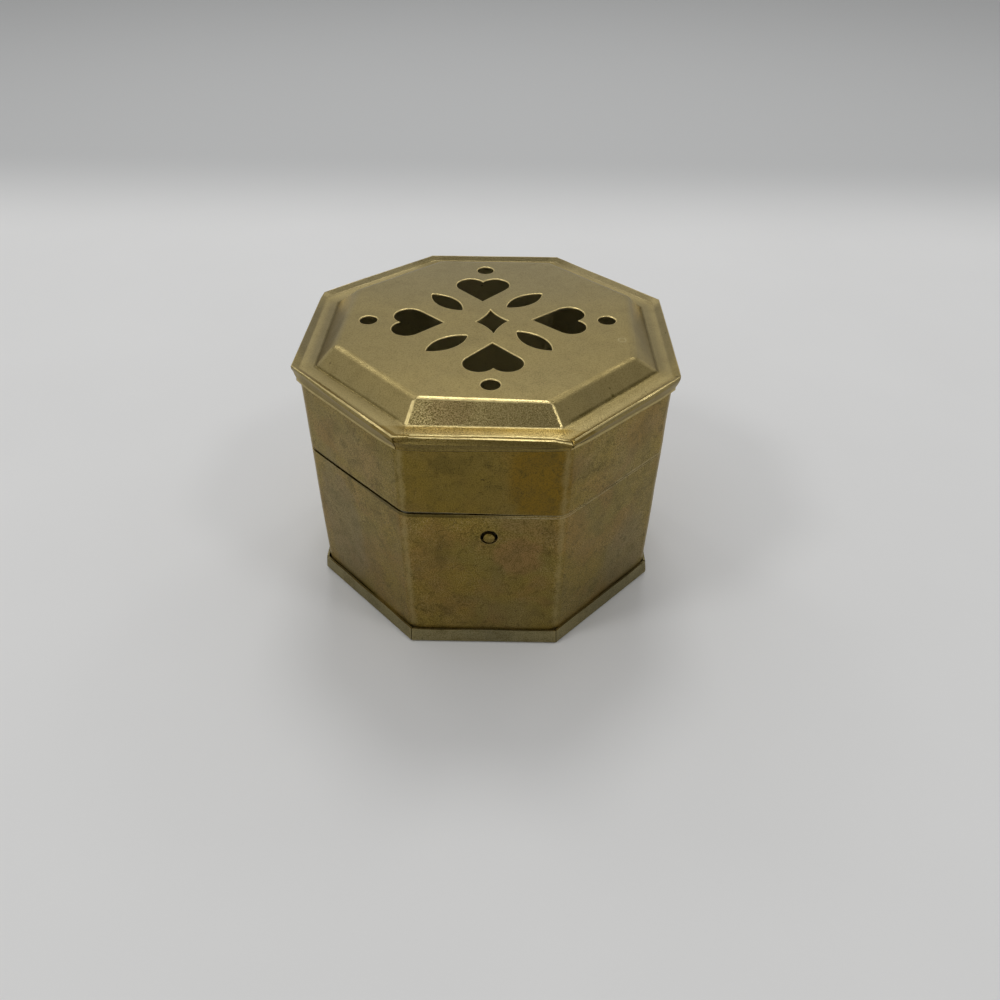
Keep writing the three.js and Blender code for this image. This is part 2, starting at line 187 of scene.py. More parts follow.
# %% A node tree and the ways to fill it
class Finish:
    """One procedural material or world, filled by a few short methods."""

    def __init__(self, holder, coordinates="Object"):
        self.holder = holder
        holder.use_nodes = True
        self.tree = holder.node_tree
        self.tree.nodes.clear()
        self.place = self.node("ShaderNodeTexCoord", output=coordinates)

    def node(self, kind, settings=None, inputs=None, output=0):
        made = self.tree.nodes.new(kind)
        for name, value in (settings or {}).items():
            setattr(made, name, value)
        for name, value in (inputs or {}).items():
            socket = made.inputs[name]
            if isinstance(value, Wire):
                self.tree.links.new(value.socket, socket)
            else:
                socket.default_value = value
        return Wire(self, made.outputs[output]) if made.outputs else None

    def axis(self, number):
        return self.node("ShaderNodeSeparateXYZ", {}, {0: self.place}, number)

    def vector(self, operation, first, second=(0, 0, 0), output="Vector"):
        inputs = {0: first, 1: second}
        return self.node("ShaderNodeVectorMath", {"operation": operation}, inputs, output)

    def grain(self, size, detail=2.0, distortion=0.0, stretch=None):
        """Soft noise of a size, drawn out along an axis where its stretch is below 1."""
        place = self.place
        if stretch:
            place = self.node("ShaderNodeMapping", {}, {"Vector": place, "Scale": stretch})
        inputs = {"Vector": place, "Scale": 1 / size, "Detail": detail, "Distortion": distortion}
        return self.node("ShaderNodeTexNoise", {}, inputs)

    def bump(self, height, strength, distance, **more):
        inputs = {"Height": height, "Strength": strength, "Distance": distance, **more}
        return self.node("ShaderNodeBump", {}, inputs)

    def mix(self, mask, first, second):
        return self.node("ShaderNodeMix", {"data_type": "RGBA"}, {0: mask, 6: first, 7: second}, 2)

    def surface(self, kind, inputs, output_kind="ShaderNodeOutputMaterial"):
        made = self.node(kind, {}, inputs)
        self.node(output_kind, {}, {"Surface": made})
        return self.holder


def colour(red, green, blue):
    """A linear colour with its alpha."""
    return (red, green, blue, 1.0)


print("a finish has", len(vars(Finish)), "attributes")

# %% [markdown] Floor The box stands on a plain pale sheet of paper. Its far part is painted greyer:
# painted shade that stands for a shaded backdrop behind the box.

# %% Floor
floor_reach = 3.0
floor_near = 0.2
floor_far = 0.33
near_shades = [colour(0.76, 0.76, 0.755), colour(0.8, 0.8, 0.795)]
# Painted shade on the far floor, for the shaded backdrop
painted_back_shade = colour(0.54, 0.545, 0.545)
paper_roughness = 0.9
mottle_width = 60 * mm
fibre_width = 1.2 * mm
fibre_height = 0.2 * mm


def floor_finish():
    finish = Finish(bpy.data.materials.new("pale_paper"))
    near_shade = finish.mix(finish.grain(mottle_width, 3.0), *near_shades)
    shade = finish.mix(finish.axis(1).rise(floor_near, floor_far), near_shade, painted_back_shade)
    fibres = finish.bump(finish.grain(fibre_width, 3.0), 0.1, fibre_height)
    looks = {"Base Color": shade, "Roughness": paper_roughness, "Normal": fibres}
    return finish.surface("ShaderNodeBsdfPrincipled", looks)


def object_from(bm, name, material=None):
    """Makes an object of a bmesh, which is then freed."""
    mesh = bpy.data.meshes.new(name)
    bm.to_mesh(mesh)
    bm.free()
    if material:
        mesh.materials.append(material)
    return linked(name, mesh)


floor_bm = bmesh.new()
bmesh.ops.create_grid(floor_bm, x_segments=1, y_segments=1, size=floor_reach)
floor = object_from(floor_bm, "floor", floor_finish())
print("floor", 2 * floor_reach, "m wide")

# %% [markdown]
# Light
#
# Polished metal shows little but what stands round it. The room is an even grey world with two
# darker patches, one in front and above and one at the right, which give the panel its shading. Five
# small round lamps, three behind and one at each side, put the bright lines on beads and bevels, and
# highlights painted on the edges as bare metal make them brighter.

# %% Lamps and world
room_shade = 0.55
# Directions from the box to a darker patch, its shade, and how near its middle it starts and is full
dark_patches = [
    ((0.05, -0.62, 0.78), 0.26, 0.74, 0.92),
    ((0.78, 0.09, 0.62), 0.36, 0.8, 0.96),
]
# Each lamp's direction and distance in metres, its size and its power
lamps = {
    "back_lamp": ((0.0, 0.48, 0.88), 0.3, 1.7),
    "back_left_lamp": ((-0.47, 0.55, 0.69), 0.16, 0.3),
    "back_right_lamp": ((0.47, 0.55, 0.69), 0.16, 0.24),
    "left_lamp": ((-0.57, -0.27, 0.78), 0.2, 1.1),
    "right_lamp": ((0.5, -0.3, 0.81), 0.18, 0.7),
}
lamp_aim = Vector((0, 0, 30)) * mm


def add_lamp(name, place, size, watts):
    lamp = bpy.data.lights.new(name, "AREA")
    lamp.shape = "DISK"
    lamp.size = size
    lamp.energy = watts
    holder = linked(name, lamp)
    holder.location = place
    holder.rotation_euler = (lamp_aim - Vector(place)).to_track_quat("-Z", "Y").to_euler()


def world_light():
    scene.world = bpy.data.worlds.new("studio")
    finish = Finish(scene.world, "Generated")
    shade = colour(room_shade, room_shade, room_shade)
    for middle, dark, starts, full in dark_patches:
        nearness = finish.vector("DOT_PRODUCT", finish.place, Vector(middle).normalized(), "Value")
        shade = finish.mix(nearness.rise(starts, full), shade, colour(dark, dark, dark))
    looks = {"Color": shade, "Strength": 1.0}
    finish.surface("ShaderNodeBackground", looks, "ShaderNodeOutputWorld")


scene.view_settings.view_transform = "Standard"
for name, (place, size, watts) in lamps.items():
    add_lamp(name, place, size, watts)
world_light()
print("lamps:", ", ".join(lamps))

# %% [markdown]
# Aged brass
#
# Brass that has been handled for years isn't one colour. Its polish has gone satin, fine pits hold
# brown dirt, and a warm or olive film lies over it in patches. All five finishes here are one recipe
# with different amounts: two metal tones mixed by large soft clouds, a darker patina that gathers in
# mottled spots, fine streaks along the strip, a grain of pits that also dents the surface, painted
# glints of bare metal at fine specks, and bare metal where a mesh marks its faces for wear and painted
# highlight. A brass first has to know where a point lies.

# %% A brass in the making
spot_fray_size = 3 * mm


class Brass(Finish):
    """One brass finish: where a point lies, the metal's colour so far, and how much patina covers it."""

    def __init__(self, name):
        super().__init__(bpy.data.materials.new(name))
        self.x, self.y, self.z = (self.axis(number) for number in range(3))
        straight = abs(self.x).math("MAXIMUM", abs(self.y))
        slanted = (abs(self.x) + abs(self.y)) * math.sqrt(0.5)
        # How far out a point is, measured square to its side, and how far it is from a corner
        self.reach = straight.math("MAXIMUM", slanted)
        self.corner_gap = abs(straight - slanted)

    def attribute(self, name):
        return self.node("ShaderNodeAttribute", {"attribute_name": name}, output="Fac")

    def spot(self, middle, reach, fray):
        """A mask that is 1 near a point and fades at its reach along each axis, both in millimetres."""
        offset = self.vector("SUBTRACT", self.place, Vector(middle) * mm)
        scaled = self.vector("DIVIDE", offset, Vector(reach) * mm)
        distance = self.vector("LENGTH", scaled, output="Value")
        return (distance + (self.grain(spot_fray_size, 4.0) - 0.5) * fray).rise(1.15, 0.7)

    def film(self, mask, tint):
        """Lays one colour over the metal, for a film and for painted light and shade."""
        self.metal = self.mix(mask, self.metal, colour(*tint))

    # Adds to the patina's cover: dirt, and painted shade where a touch says so
    def dirt_and_shade(self, mask):
        self.cover = self.cover + mask

    def clean(self, mask):
        self.cover = self.cover * (1.0 - mask)


print("a brass adds", len(vars(Brass)), "attributes")

# %% The brass recipe
olive_brown = colour(0.1, 0.073, 0.017)
pit_brown = colour(0.04, 0.028, 0.012)
# Bare brass, also the colour of painted glints and highlights
bare_metal = colour(0.68, 0.55, 0.25)
cloud_size = 20 * mm
mottle_size = 4 * mm
streak_size = 0.45 * mm
streak_stretch = (0.12, 0.12, 1.0)
speck_size = 0.24 * mm
pit_size = 0.9 * mm
wear_size = 1.5 * mm
dent_depth = 0.1 * mm
swell_size = 9 * mm
swell_depth = 0.25 * mm


def aged_brass(name, bright, dull, edge_tint, patina, specks, streaks, grain, roughness, touches=(),
               more_grain_and_glints=None):
    """The one recipe: how much of each kind of age, the touches, and where more grain and painted glints
    go.
    """
    brass = Brass(name)
    cloud = brass.grain(cloud_size, 3.0, 0.6).rise(0.35, 0.65)
    mottle = brass.grain(mottle_size, 7.0, 0.3).rise(0.42, 0.72)
    streak = brass.grain(streak_size, 5.0, stretch=streak_stretch).rise(0.35, 0.7)
    speck = brass.grain(speck_size, 2.5)
    pit = brass.grain(pit_size).rise(0.71, 0.79)
    # Painted glints: bare metal mixed into the colour at the brightest specks
    glint = speck.rise(0.5, 0.7) * (0.25 * specks)
    dents = speck + streak * streaks - pit * 0.6
    rough = roughness + mottle * (0.1 * patina) + pit * 0.2
    brass.cover = mottle * (0.6 * patina) + streak * (0.6 * streaks) + speck.rise(0.53, 0.36) * specks
    # More grain where asked, with more painted glints among it
    if more_grain_and_glints:
        more = more_grain_and_glints(brass)
        glint = glint + speck.rise(0.5, 0.64) * more
        brass.dirt_and_shade(speck.rise(0.5, 0.38) * more * 0.5)
        dents = dents + speck * more * 3.5
        rough = rough + more * 0.04
    brass.metal = brass.mix(cloud, colour(*bright), colour(*dull))
    brass.metal = brass.mix(glint.clamped(), brass.metal, bare_metal)
    for touch in touches:
        touch(brass)
    # Bare metal where the mesh marks wear and painted highlight
    wear_and_highlight = (brass.attribute("wear_and_highlight") * (0.45 + brass.grain(wear_size, 3.0))).clamped()
    metal = brass.mix(wear_and_highlight, brass.metal, bare_metal)
    stained = brass.mix((brass.cover * (1.0 - wear_and_highlight * 0.8)).clamped(), metal, olive_brown)
    relief = brass.bump(dents, grain, dent_depth)
    return brass.surface("ShaderNodeBsdfPrincipled", {
        "Base Color": brass.mix(pit * 0.6, stained, pit_brown),
        "Metallic": 1.0 - mottle * (0.15 * patina),
        "Roughness": rough,
        "Specular Tint": colour(*edge_tint),
        "Normal": brass.bump(brass.grain(swell_size, 1.0), 0.2, swell_depth, Normal=relief),
    })


print("clouds", cloud_size, "mottle", mottle_size, "specks", speck_size)

# %% [markdown]
# Touches of age and painted light
#
# Each touch changes the metal or its patina in one place; some are age, and some are painted light
# and shade, as each says. A touch is a function of the brass in the making, so a finish takes as many
# as it needs, in the order in which the films lie. Single films, painted shades, pits and smudges,
# which the photograph shows at one place each, stand in tables: a row with a colour is laid over the
# metal, and a row without one is brown dirt. The first touches are the lid's.

# %% Films, painted shades and spots of dirt in tables
def laid(spots):
    """Makes the touch that lays a table of (middle, reach, fray, strength, colour or None)."""
    def touch(brass):
        for middle, reach, fray, strength, tint in spots.values():
            mask = brass.spot(middle, reach, fray) * strength
            if tint:
                brass.film(mask, tint)
            else:
                brass.dirt_and_shade(mask)
    return touch


# Places are in millimetres, and a strength is a share
front_y = -wall_face / mm
# Painted shade on the side bevels, darker where they reflect the far floor
bevel_shades = {
    "left bevel": ((-38, 0, 60.5), (5.6, 16, 6), 0.3, 0.9, (0.24, 0.197, 0.105)),
    "right bevel": ((38, 2, 60.5), (5.6, 18, 6), 0.3, 0.54, (0.24, 0.197, 0.105)),
}
lid_spots = {
    "brown film on the front bevel": ((-6.5, -34.6, 61.4), (5, 3.2, 4), 0.8, 0.45, (0.25, 0.165, 0.07)),
    "upper pit": ((24.8, -23.6, 61.0), (0.35, 0.35, 1.2), 0.8, 0.35, None),
    "middle pit": ((25.7, -24.6, 60.6), (0.25, 0.25, 1.2), 0.8, 0.35, None),
    "lower pit": ((26.3, -25.6, 60.2), (0.4, 0.4, 1.2), 0.8, 0.35, None),
}
wall_spots = {
    "olive middle": ((-3, front_y, 50), (9, 5, 8), 0.5, 0.4, (0.2, 0.165, 0.06)),
    "pink": ((7.5, front_y, 27.5), (5.5, 4, 6), 0.7, 0.6, (0.31, 0.175, 0.07)),
    "grey at the left": ((-34, -23.7, 20), (8, 8, 22), 0.8, 0.5, (0.22, 0.178, 0.1)),
    "grey at the right": ((34, -23.7, 13), (8, 8, 13), 0.8, 0.4, (0.22, 0.178, 0.1)),
    "sandy": ((-27, -30.7, 46.5), (9, 9, 4.5), 0.8, 0.35, (0.36, 0.25, 0.1)),
    "smudge right of the button": ((14.4, front_y, 29.3), (1.6, 4, 1.3), 2.0, 0.2, None),
    "smudge left of the button": ((-9.3, front_y, 29.2), (1.8, 4, 5), 2.0, 0.2, None),
    "smudge on the lid's wall": ((-7, front_y, 52.7), (4, 4, 2.8), 2.0, 0.2, None),
    "smudge under the button": ((7.8, front_y, 27), (1, 4, 1.2), 2.0, 0.2, None),
}
print("spots:", len(bevel_shades) + len(lid_spots) + len(wall_spots))

# %% Touches for the lid
far_reflection_grey = (0.31, 0.265, 0.155)
ochre = (0.25, 0.165, 0.035)
margin_sheen_pale = (0.5, 0.4, 0.18)
lip_brown = (0.235, 0.175, 0.055)
scratch_light = (0.55, 0.46, 0.25)
foot_blot_size = 6 * mm
foot_line_inset = 0.1 * mm
margin_grain_size = 1.2 * mm
margin_grain_stretch = (0.3, 1, 1)
ring_middle = Vector((29.8, -8.0, 63.0)) * mm
ring_radius = 0.85 * mm
# Fades: where each starts, and where it is full
back_fade = (-8 * mm, 34 * mm)
far_rim_fade = (35 * mm, 39 * mm)
foot_line_fade = (0.6 * mm, 0.15 * mm)
off_front_fade = (1 * mm, 2.7 * mm)
front_margin_fade = (0.3 * mm, -0.5 * mm)
margin_fade = (-2 * mm, -0.2 * mm)
bead_fade = (0.5 * mm, 0.0)
ring_fade = (0.22 * mm, 0.08 * mm)
front_side_fade = (0.3 * mm, 0.0)
off_corner_fade = (0.0, 0.5 * mm)
off_panel_fade = (-0.9 * mm, 0.6 * mm)
grain_leftward_fade = (8 * mm, -14 * mm)


# Painted reflection and shade on the far half of the lid
def far_half_shade(brass):
    """Painted reflection and shade: the lid's far half is painted duller and greyer, its far rim darker.
    """
    brass.film(brass.y.rise(*back_fade) * 0.6, far_reflection_grey)
    brass.dirt_and_shade(brass.y.rise(*far_rim_fade) * 0.35)


# Painted shade in the crease at the foot of the bevel
def foot_shade(brass):
    """Painted shade along the crease at the bevel's foot, but not at the front, which keeps its
    highlight.
    """
    along_foot = abs(brass.reach - (bevel_foot - foot_line_inset)).rise(*foot_line_fade)
    behind_front = (brass.y + bevel_foot).rise(*off_front_fade)
    brass.dirt_and_shade(along_foot * behind_front * (0.25 + brass.grain(foot_blot_size, 4.0) * 0.6))


def ochre_margin(brass):
    """A thin ochre film along the front margin."""
    forward = (brass.y + bevel_foot).rise(*front_margin_fade)
    uneven = 0.5 + brass.grain(margin_grain_size, 3.0, stretch=margin_grain_stretch) * 0.6
    brass.film(forward * uneven, ochre)


# Painted sheen on the margin next to the bead
def margin_sheen(brass):
    """Painted sheen: the margin is painted paler beside the bead."""
    beside = brass.reach - margin_end
    brass.film(beside.rise(*margin_fade) * beside.rise(*bead_fade) * 0.5, margin_sheen_pale)


# The lip's brown is partly painted shade under the bead
def darker_lip(brass):
    """The folded lip, which carries an attribute of its own, is brown like the walls, partly as painted
    shade under the bead.
    """
    lip = brass.attribute("lip")
    brass.film(lip, lip_brown)
    brass.dirt_and_shade(lip * 0.1)


def ring_scratch(brass):
    """A faint ring on the right of the panel, as a small tube end leaves."""
    offset = brass.vector("SUBTRACT", brass.place, ring_middle)
    off_ring = abs(brass.vector("LENGTH", offset, output="Value") - ring_radius)
    brass.film(off_ring.rise(*ring_fade) * 0.6, scratch_light)


def front_grain_and_glints(brass):
    """Where the lid gets more grain and painted glints: its front bevel and margin, most at the left."""
    forward = (brass.y + brass.reach).rise(*front_side_fade) * brass.corner_gap.rise(*off_corner_fade)
    off_panel = (brass.reach - panel_edge).rise(*off_panel_fade)
    return forward * off_panel * (0.35 + brass.x.rise(*grain_leftward_fade) * 0.65)


print("the ring is", 2 * ring_radius / mm, "mm across")

# %% [markdown]
# Touches for the walls
#
# Inside the box the metal is painted pale and free of patina: painted light, as little light gets in.
# Outside, the upright corners are painted lighter as highlights, partly rubbed light by hands, and the
# flat sides went brown and grey in patches, with fine pale scuffs. The wide films cover every wall.
# The lid's front wall has painted shade of its own, and on it an amber patch with a crisp left edge.
# Painted shade lies in the seam where it gapes, and a painted highlight on its edge where it is shut.

# %% Touches for any wall
inside_light_brass = (0.74, 0.69, 0.5)
corner_highlight_brass = (0.36, 0.29, 0.13)
warm_brown = (0.29, 0.165, 0.055)
grey_brown = (0.23, 0.18, 0.09)
scuff_tan = (0.42, 0.31, 0.14)
clean_edge = 0.1 * mm
corner_grain_size = 2.5 * mm
corner_stray = 1.8 * mm
corner_fade = (1.9 * mm, 0.8 * mm)
warm_film_size = 9 * mm
grey_film_size = 14 * mm
scuff_size = 0.4 * mm
scuffed_patch_size = 5 * mm
blotch_size = 3 * mm


# Painted light: the inside is painted pale, since little light gets in through the holes
def painted_inside_light(reach_limit, low, high):
    """Paints the inside pale as painted light and clears its patina, within a reach and between two
    heights.
    """
    def touch(brass):
        inside = brass.reach.rise(reach_limit, reach_limit - clean_edge)
        inside = inside * brass.z.rise(low, low + clean_edge / 2)
        inside = inside * brass.z.rise(high, high - clean_edge / 2)
        brass.film(inside, inside_light_brass)
        brass.clean(inside * 0.9)
    return touch


# Painted highlight down the upright corners, with real rubbing
def corner_highlights_and_rubbing(brass):
    """Paints the upright corners lighter: painted highlight, together with rubbing by hands."""
    uneven = brass.grain(corner_grain_size, 4.0) * corner_stray
    corner_light = (brass.corner_gap + uneven).rise(*corner_fade) * 0.45
    brass.film(corner_light, corner_highlight_brass)
    brass.clean(corner_light)


def brown_films(brass):
    """Warm brown and grey films lie over the walls in patches, with fine pale scuffs among them."""
    brass.film(brass.grain(warm_film_size, 9.0, 0.5).rise(0.42, 0.66) * 0.5, warm_brown)
    brass.film(brass.grain(grey_film_size, 9.0, 0.5).rise(0.42, 0.7) * 0.35, grey_brown)
    scuffed = brass.grain(scuff_size, 4.0).rise(0.5, 0.64)
    scuffed = scuffed * brass.grain(scuffed_patch_size, 5.0).rise(0.46, 0.62)
    brass.film(scuffed * 0.45, scuff_tan)
    brass.dirt_and_shade(brass.grain(blotch_size, 8.0, 2.0).rise(0.54, 0.68) * 0.36)


print("films", warm_film_size, grey_film_size, "scuffs", scuff_size)

# %% Touches for the front of the walls and for the seam
front_wall_shade = (0.19, 0.128, 0.022)
amber = (0.21, 0.12, 0.012)
seam_highlight = (0.5, 0.42, 0.24)
on_lid_fade = (seam_height, seam_height + 1 * mm)
front_wall_fade = (1.3 * mm, 0.3 * mm)
amber_place = ((12.2, front_y, 48), (8, 3, 11), 0.6)
amber_grain_size = 3 * mm
amber_edge_stray = 4 * mm
amber_edge_fade = (5 * mm, 8.5 * mm)
seam_line_drop = 0.1 * mm
seam_shade_fade = (0.6 * mm, 0.25 * mm)
seam_leftward_fade = (10 * mm, -10 * mm)
seam_highlight_offset = 0.3 * mm
seam_highlight_fade = (0.22 * mm, 0.08 * mm)


# The front wall's darker film is painted shade; the amber patch is a stain
def front_shade_and_amber(brass):
    """Painted shade over the lid's front wall, and an amber patch on its right with a crisp left edge."""
    on_lid = brass.z.rise(*on_lid_fade)
    forward = (brass.y + wall_face).rise(*front_wall_fade)
    brass.film(forward * on_lid * 0.6, front_wall_shade)
    patch = brass.spot(*amber_place)
    uneven = brass.grain(amber_grain_size, 4.0) * amber_edge_stray
    left_edge = (brass.x + uneven).rise(*amber_edge_fade)
    brass.film(patch * left_edge * on_lid * 0.75, amber)


# Painted shade in the open seam and a painted highlight on its shut edge
def seam_shade_and_highlight(brass):
    """Painted shade along the seam's left half, which gapes, and a painted highlight on its right edge.
    """
    off_seam = abs(brass.z - (seam_height - seam_line_drop))
    leftward = brass.x.rise(*seam_leftward_fade)
    brass.dirt_and_shade(off_seam.rise(*seam_shade_fade) * leftward * 0.8)
    on_edge = abs(off_seam - seam_highlight_offset).rise(*seam_highlight_fade)
    brass.film(on_edge * (1.0 - leftward) * 0.5, seam_highlight)


print("seam dirt at", seam_height)

# %% [markdown]
# The five finishes
#
# The lid is handled most and stays palest, the walls are browner, the base is duller still, and the
# hinge and the spring are plain strip. The working model's nodes get the same finishes, so that a
# node which no piece stands for would look right too.

# %% The five finishes
pale_edge = (1.0, 0.96, 0.86)
warm_edge = (1.0, 0.97, 0.88)
# What counts as inside each: within a reach, and between two heights
inside_lid = (panel_edge - 0.9 * mm, 0, lid_top - 0.35 * mm)
inside_walls = (wall_face - 0.55 * mm, -1 * mm, lid_top)
inside_tray = (wall_face - 0.35 * mm, base_sheet / 2, lid_top)
slot_finishes = {
    "lid_brass": aged_brass(
        "lid_brass", (0.375, 0.292, 0.118), (0.345, 0.272, 0.115), pale_edge,
        patina=0.25, specks=0.3, streaks=0.05, grain=0.33, roughness=0.3, more_grain_and_glints=front_grain_and_glints,
        touches=[far_half_shade, laid(bevel_shades), foot_shade, ochre_margin, margin_sheen, laid(lid_spots),
                 darker_lip, ring_scratch, painted_inside_light(*inside_lid)],
    ),
    "wall_brass": aged_brass(
        "wall_brass", (0.28, 0.195, 0.037), (0.235, 0.175, 0.042), warm_edge,
        patina=0.4, specks=0.72, streaks=0.08, grain=0.45, roughness=0.37,
        touches=[brown_films, laid(wall_spots), front_shade_and_amber, seam_shade_and_highlight, corner_highlights_and_rubbing,
                 painted_inside_light(*inside_walls)],
    ),
    "base_brass": aged_brass(
        "base_brass", (0.28, 0.24, 0.12), (0.235, 0.21, 0.115), warm_edge,
        patina=0.5, specks=0.5, streaks=0.1, grain=0.4, roughness=0.42,
        touches=[corner_highlights_and_rubbing, painted_inside_light(*inside_tray)],
    ),
    "hinge_brass": aged_brass(
        "hinge_brass", (0.36, 0.28, 0.11), (0.3, 0.235, 0.09), pale_edge,
        patina=0.4, specks=0.4, streaks=0.2, grain=0.4, roughness=0.36,
    ),
    "spring_brass": aged_brass(
        "spring_brass", (0.44, 0.35, 0.15), (0.38, 0.31, 0.14), pale_edge,
        patina=0.3, specks=0.2, streaks=0.3, grain=0.2, roughness=0.3,
    ),
}
for part in frame["record"]["subparts"]:
    node = frame["nodes"][part["node"]]
    node.data.materials.clear()
    node.data.materials.append(slot_finishes[part["material_slot"]])
print("finishes:", ", ".join(slot_finishes))

# %% [markdown]
# From a bmesh to a piece
#
# A piece is a named object that rides on one moving body and stands for a node of the working model.
# Its modifiers are settled into the mesh straight away, so that a later cut starts from the true
# shape. Last come the normals: big flat faces keep their own, and only the soft bends are blended.

# %% Make a piece and settle its modifiers
crease_angle = math.radians(42)
normal_weight = 50


def new_piece(bm, name, slot):
    piece = object_from(bm, name, slot_finishes[slot])
    return piece


def modified(piece, kind, **settings):
    """Runs one modifier and keeps what it makes as the piece's own mesh."""
    modifier = piece.modifiers.new(kind.lower(), kind)
    for name, value in settings.items():
        setattr(modifier, name, value)
    graph = bpy.context.evaluated_depsgraph_get()
    settled = bpy.data.meshes.new_from_object(piece.evaluated_get(graph), depsgraph=graph)
    piece.modifiers.clear()
    old = piece.data
    piece.data = settled
    bpy.data.meshes.remove(old)
    settled.name = piece.name


def thicken(piece, sheet, offset=-1):
    modified(piece, "SOLIDIFY", thickness=sheet, offset=offset, use_even_offset=True)


def hand_over(piece, body, node):
    """Blends the normals, puts the piece on its body and hides the node that it stands for."""
    piece.data.shade_smooth()
    piece.data.set_sharp_from_angle(angle=crease_angle)
    modified(piece, "WEIGHTED_NORMAL", mode="FACE_AREA", weight=normal_weight, keep_sharp=True)
    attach(piece, body)
    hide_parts(node)
    print(piece.name, "on", body, "for", node, "faces:", len(piece.data.polygons))


print("creases stay sharp over", crease_angle)

# %% [markdown]
# Cuts, worn edges and painted highlights
#
# Holes and joints are cut with closed shapes and a Boolean modifier, which is exact on thin sheet.
# No sheet edge is sharp for long: filing and handling round it, and the rounding shines. So edges
# are bevelled last, and their new faces carry a number that the brass recipe reads as wear and paints
# as bare metal, a painted highlight.

# %% Cut a piece and soften its edges
sharp_angle = math.radians(50)


def cut(piece, cutter_bm):
    bmesh.ops.recalc_face_normals(cutter_bm, faces=cutter_bm.faces)
    cutter = object_from(cutter_bm, "cutter")
    modified(piece, "BOOLEAN", operation="DIFFERENCE", solver="EXACT", object=cutter)
    bpy.data.meshes.remove(cutter.data)


def soften(piece, width, segments, shine_and_wear, chosen=lambda edge: True):
    """Rounds the chosen sharp edges, and marks the new faces with their wear and painted highlight."""
    bm = bmesh.new()
    bm.from_mesh(piece.data)
    wear_and_highlight = bm.faces.layers.float.get("wear_and_highlight") or bm.faces.layers.float.new("wear_and_highlight")
    edges = [edge for edge in bm.edges if edge.calc_face_angle(0) > sharp_angle and chosen(edge)]
    made = bmesh.ops.bevel(
        bm, geom=edges, offset=width, offset_type="OFFSET", segments=segments, profile=0.5,
        affect="EDGES", clamp_overlap=True, miter_outer="ARC", material=-1,
    )
    # Wear and painted highlight on the new faces
    for face in made["faces"]:
        face[wear_and_highlight] = shine_and_wear
    bm.to_mesh(piece.data)
    bm.free()


print("edges are softened over", sharp_angle)

# %% [markdown]
# Small drawing helpers
#
# Most pieces start as a chain of a few vertices: one is drawn, its corners are rounded, and it is
# spun round an axis or pulled out into a strip. These helpers do just that, so that each piece below
# is a few lines which say what was done to it.

# %% Draw, round and pull
same_place = 0.001 * mm


def vertices_in(geometry):
    return [part for part in geometry if isinstance(part, bmesh.types.BMVert)]


def add_chain(bm, points):
    """Draws points with an edge from each to the next, and returns the vertices."""
    chain = [bm.verts.new(point) for point in points]
    for pair in zip(chain, chain[1:]):
        bm.edges.new(pair)
    return chain


def round_corners(bm, corners, offset, segments):
    bmesh.ops.bevel(bm, geom=corners, offset=offset, offset_type="OFFSET", segments=segments,
                    profile=0.5, affect="VERTICES", material=-1)


def pull(bm, edges, shift):
    """Pulls a row of edges out into a strip and returns the level edges of the new row."""
    pulled = bmesh.ops.extrude_edge_only(bm, edges=edges)["geom"]
    bmesh.ops.translate(bm, verts=vertices_in(pulled), vec=shift)
    rows = [part for part in pulled if isinstance(part, bmesh.types.BMEdge)]
    return [edge for edge in rows if abs(edge.verts[0].co.z - edge.verts[1].co.z) < same_place]


def full_spin(bm, steps):
    bmesh.ops.spin(bm, geom=bm.verts[:] + bm.edges[:], cent=(0, 0, 0), axis=(0, 0, 1), dvec=(0, 0, 0),
                   angle=2 * math.pi, steps=steps, use_merge=True)


def point_outwards(bm):
    bmesh.ops.recalc_face_normals(bm, faces=bm.faces)


print("points count as one within", same_place)

# %% [markdown]
# Eight-sided shapes
#
# Anything folded round the octagon is one section swept through eight equal turns. A few vertices
# are drawn in the plane of one corner and spun eight steps, which gives flat sides and true mitres.
# The sides are then divided lengthways, so that each can be given the small waves of hand work.

# %% Where a vertex lies on the octagon
def side_turns(place):
    """How far round a place is, counted in sides from the right one."""
    return math.atan2(place.y, place.x) / (2 * half_side_turn)


def side_of(place):
    """The number of the side that a point lies on, and how far along it: -1 and 1 at its corners."""
    turn = side_turns(place)
    side = round(turn)
    along = math.tan((turn - side) * 2 * half_side_turn) / math.tan(half_side_turn)
    return side % sides, along


def reach_of(place):
    """How far a point is from the axis, measured square to its side."""
    turn = side_turns(place)
    return place.xy.length * math.cos((turn - round(turn)) * 2 * half_side_turn)


def place_at(vertex, reach, height):
    scale = reach / reach_of(vertex.co)
    vertex.co = Vector((vertex.co.x * scale, vertex.co.y * scale, height))


def edge_middle(edge):
    return (edge.verts[0].co + edge.verts[1].co) / 2


print("the front is side", side_of(Vector((0, -lid_rim, 0)))[0])

# %% Spin a section, and let hand work stray
level = 0.01 * mm


def is_lengthways(edge):
    one, other = edge.verts
    same_height = abs(one.co.z - other.co.z) < level
    return same_height and abs(reach_of(one.co) - reach_of(other.co)) < level


def octagonal(section, cuts):
    """Spins (reach, height) points round the eight sides, with the given number of cuts along each."""
    bm = bmesh.new()
    corner_plane = Matrix.Rotation(half_side_turn, 3, "Z")
    add_chain(bm, [corner_plane @ Vector((reach * to_corner, 0, height)) for reach, height in section])
    full_spin(bm, sides)
    lengthways = [edge for edge in bm.edges if is_lengthways(edge)]
    bmesh.ops.subdivide_edges(bm, edges=lengthways, cuts=cuts, use_grid_fill=True)
    return bm


def wobble(place, amount, size):
    """A small smooth stray that depends only on the place."""
    return amount * noise.noise(Vector(place) / size)


def rise(value, low, high):
    """The same smooth climb as a wire's, for plain numbers."""
    share = min(max((value - low) / (high - low), 0), 1)
    return share * share * (3 - 2 * share)


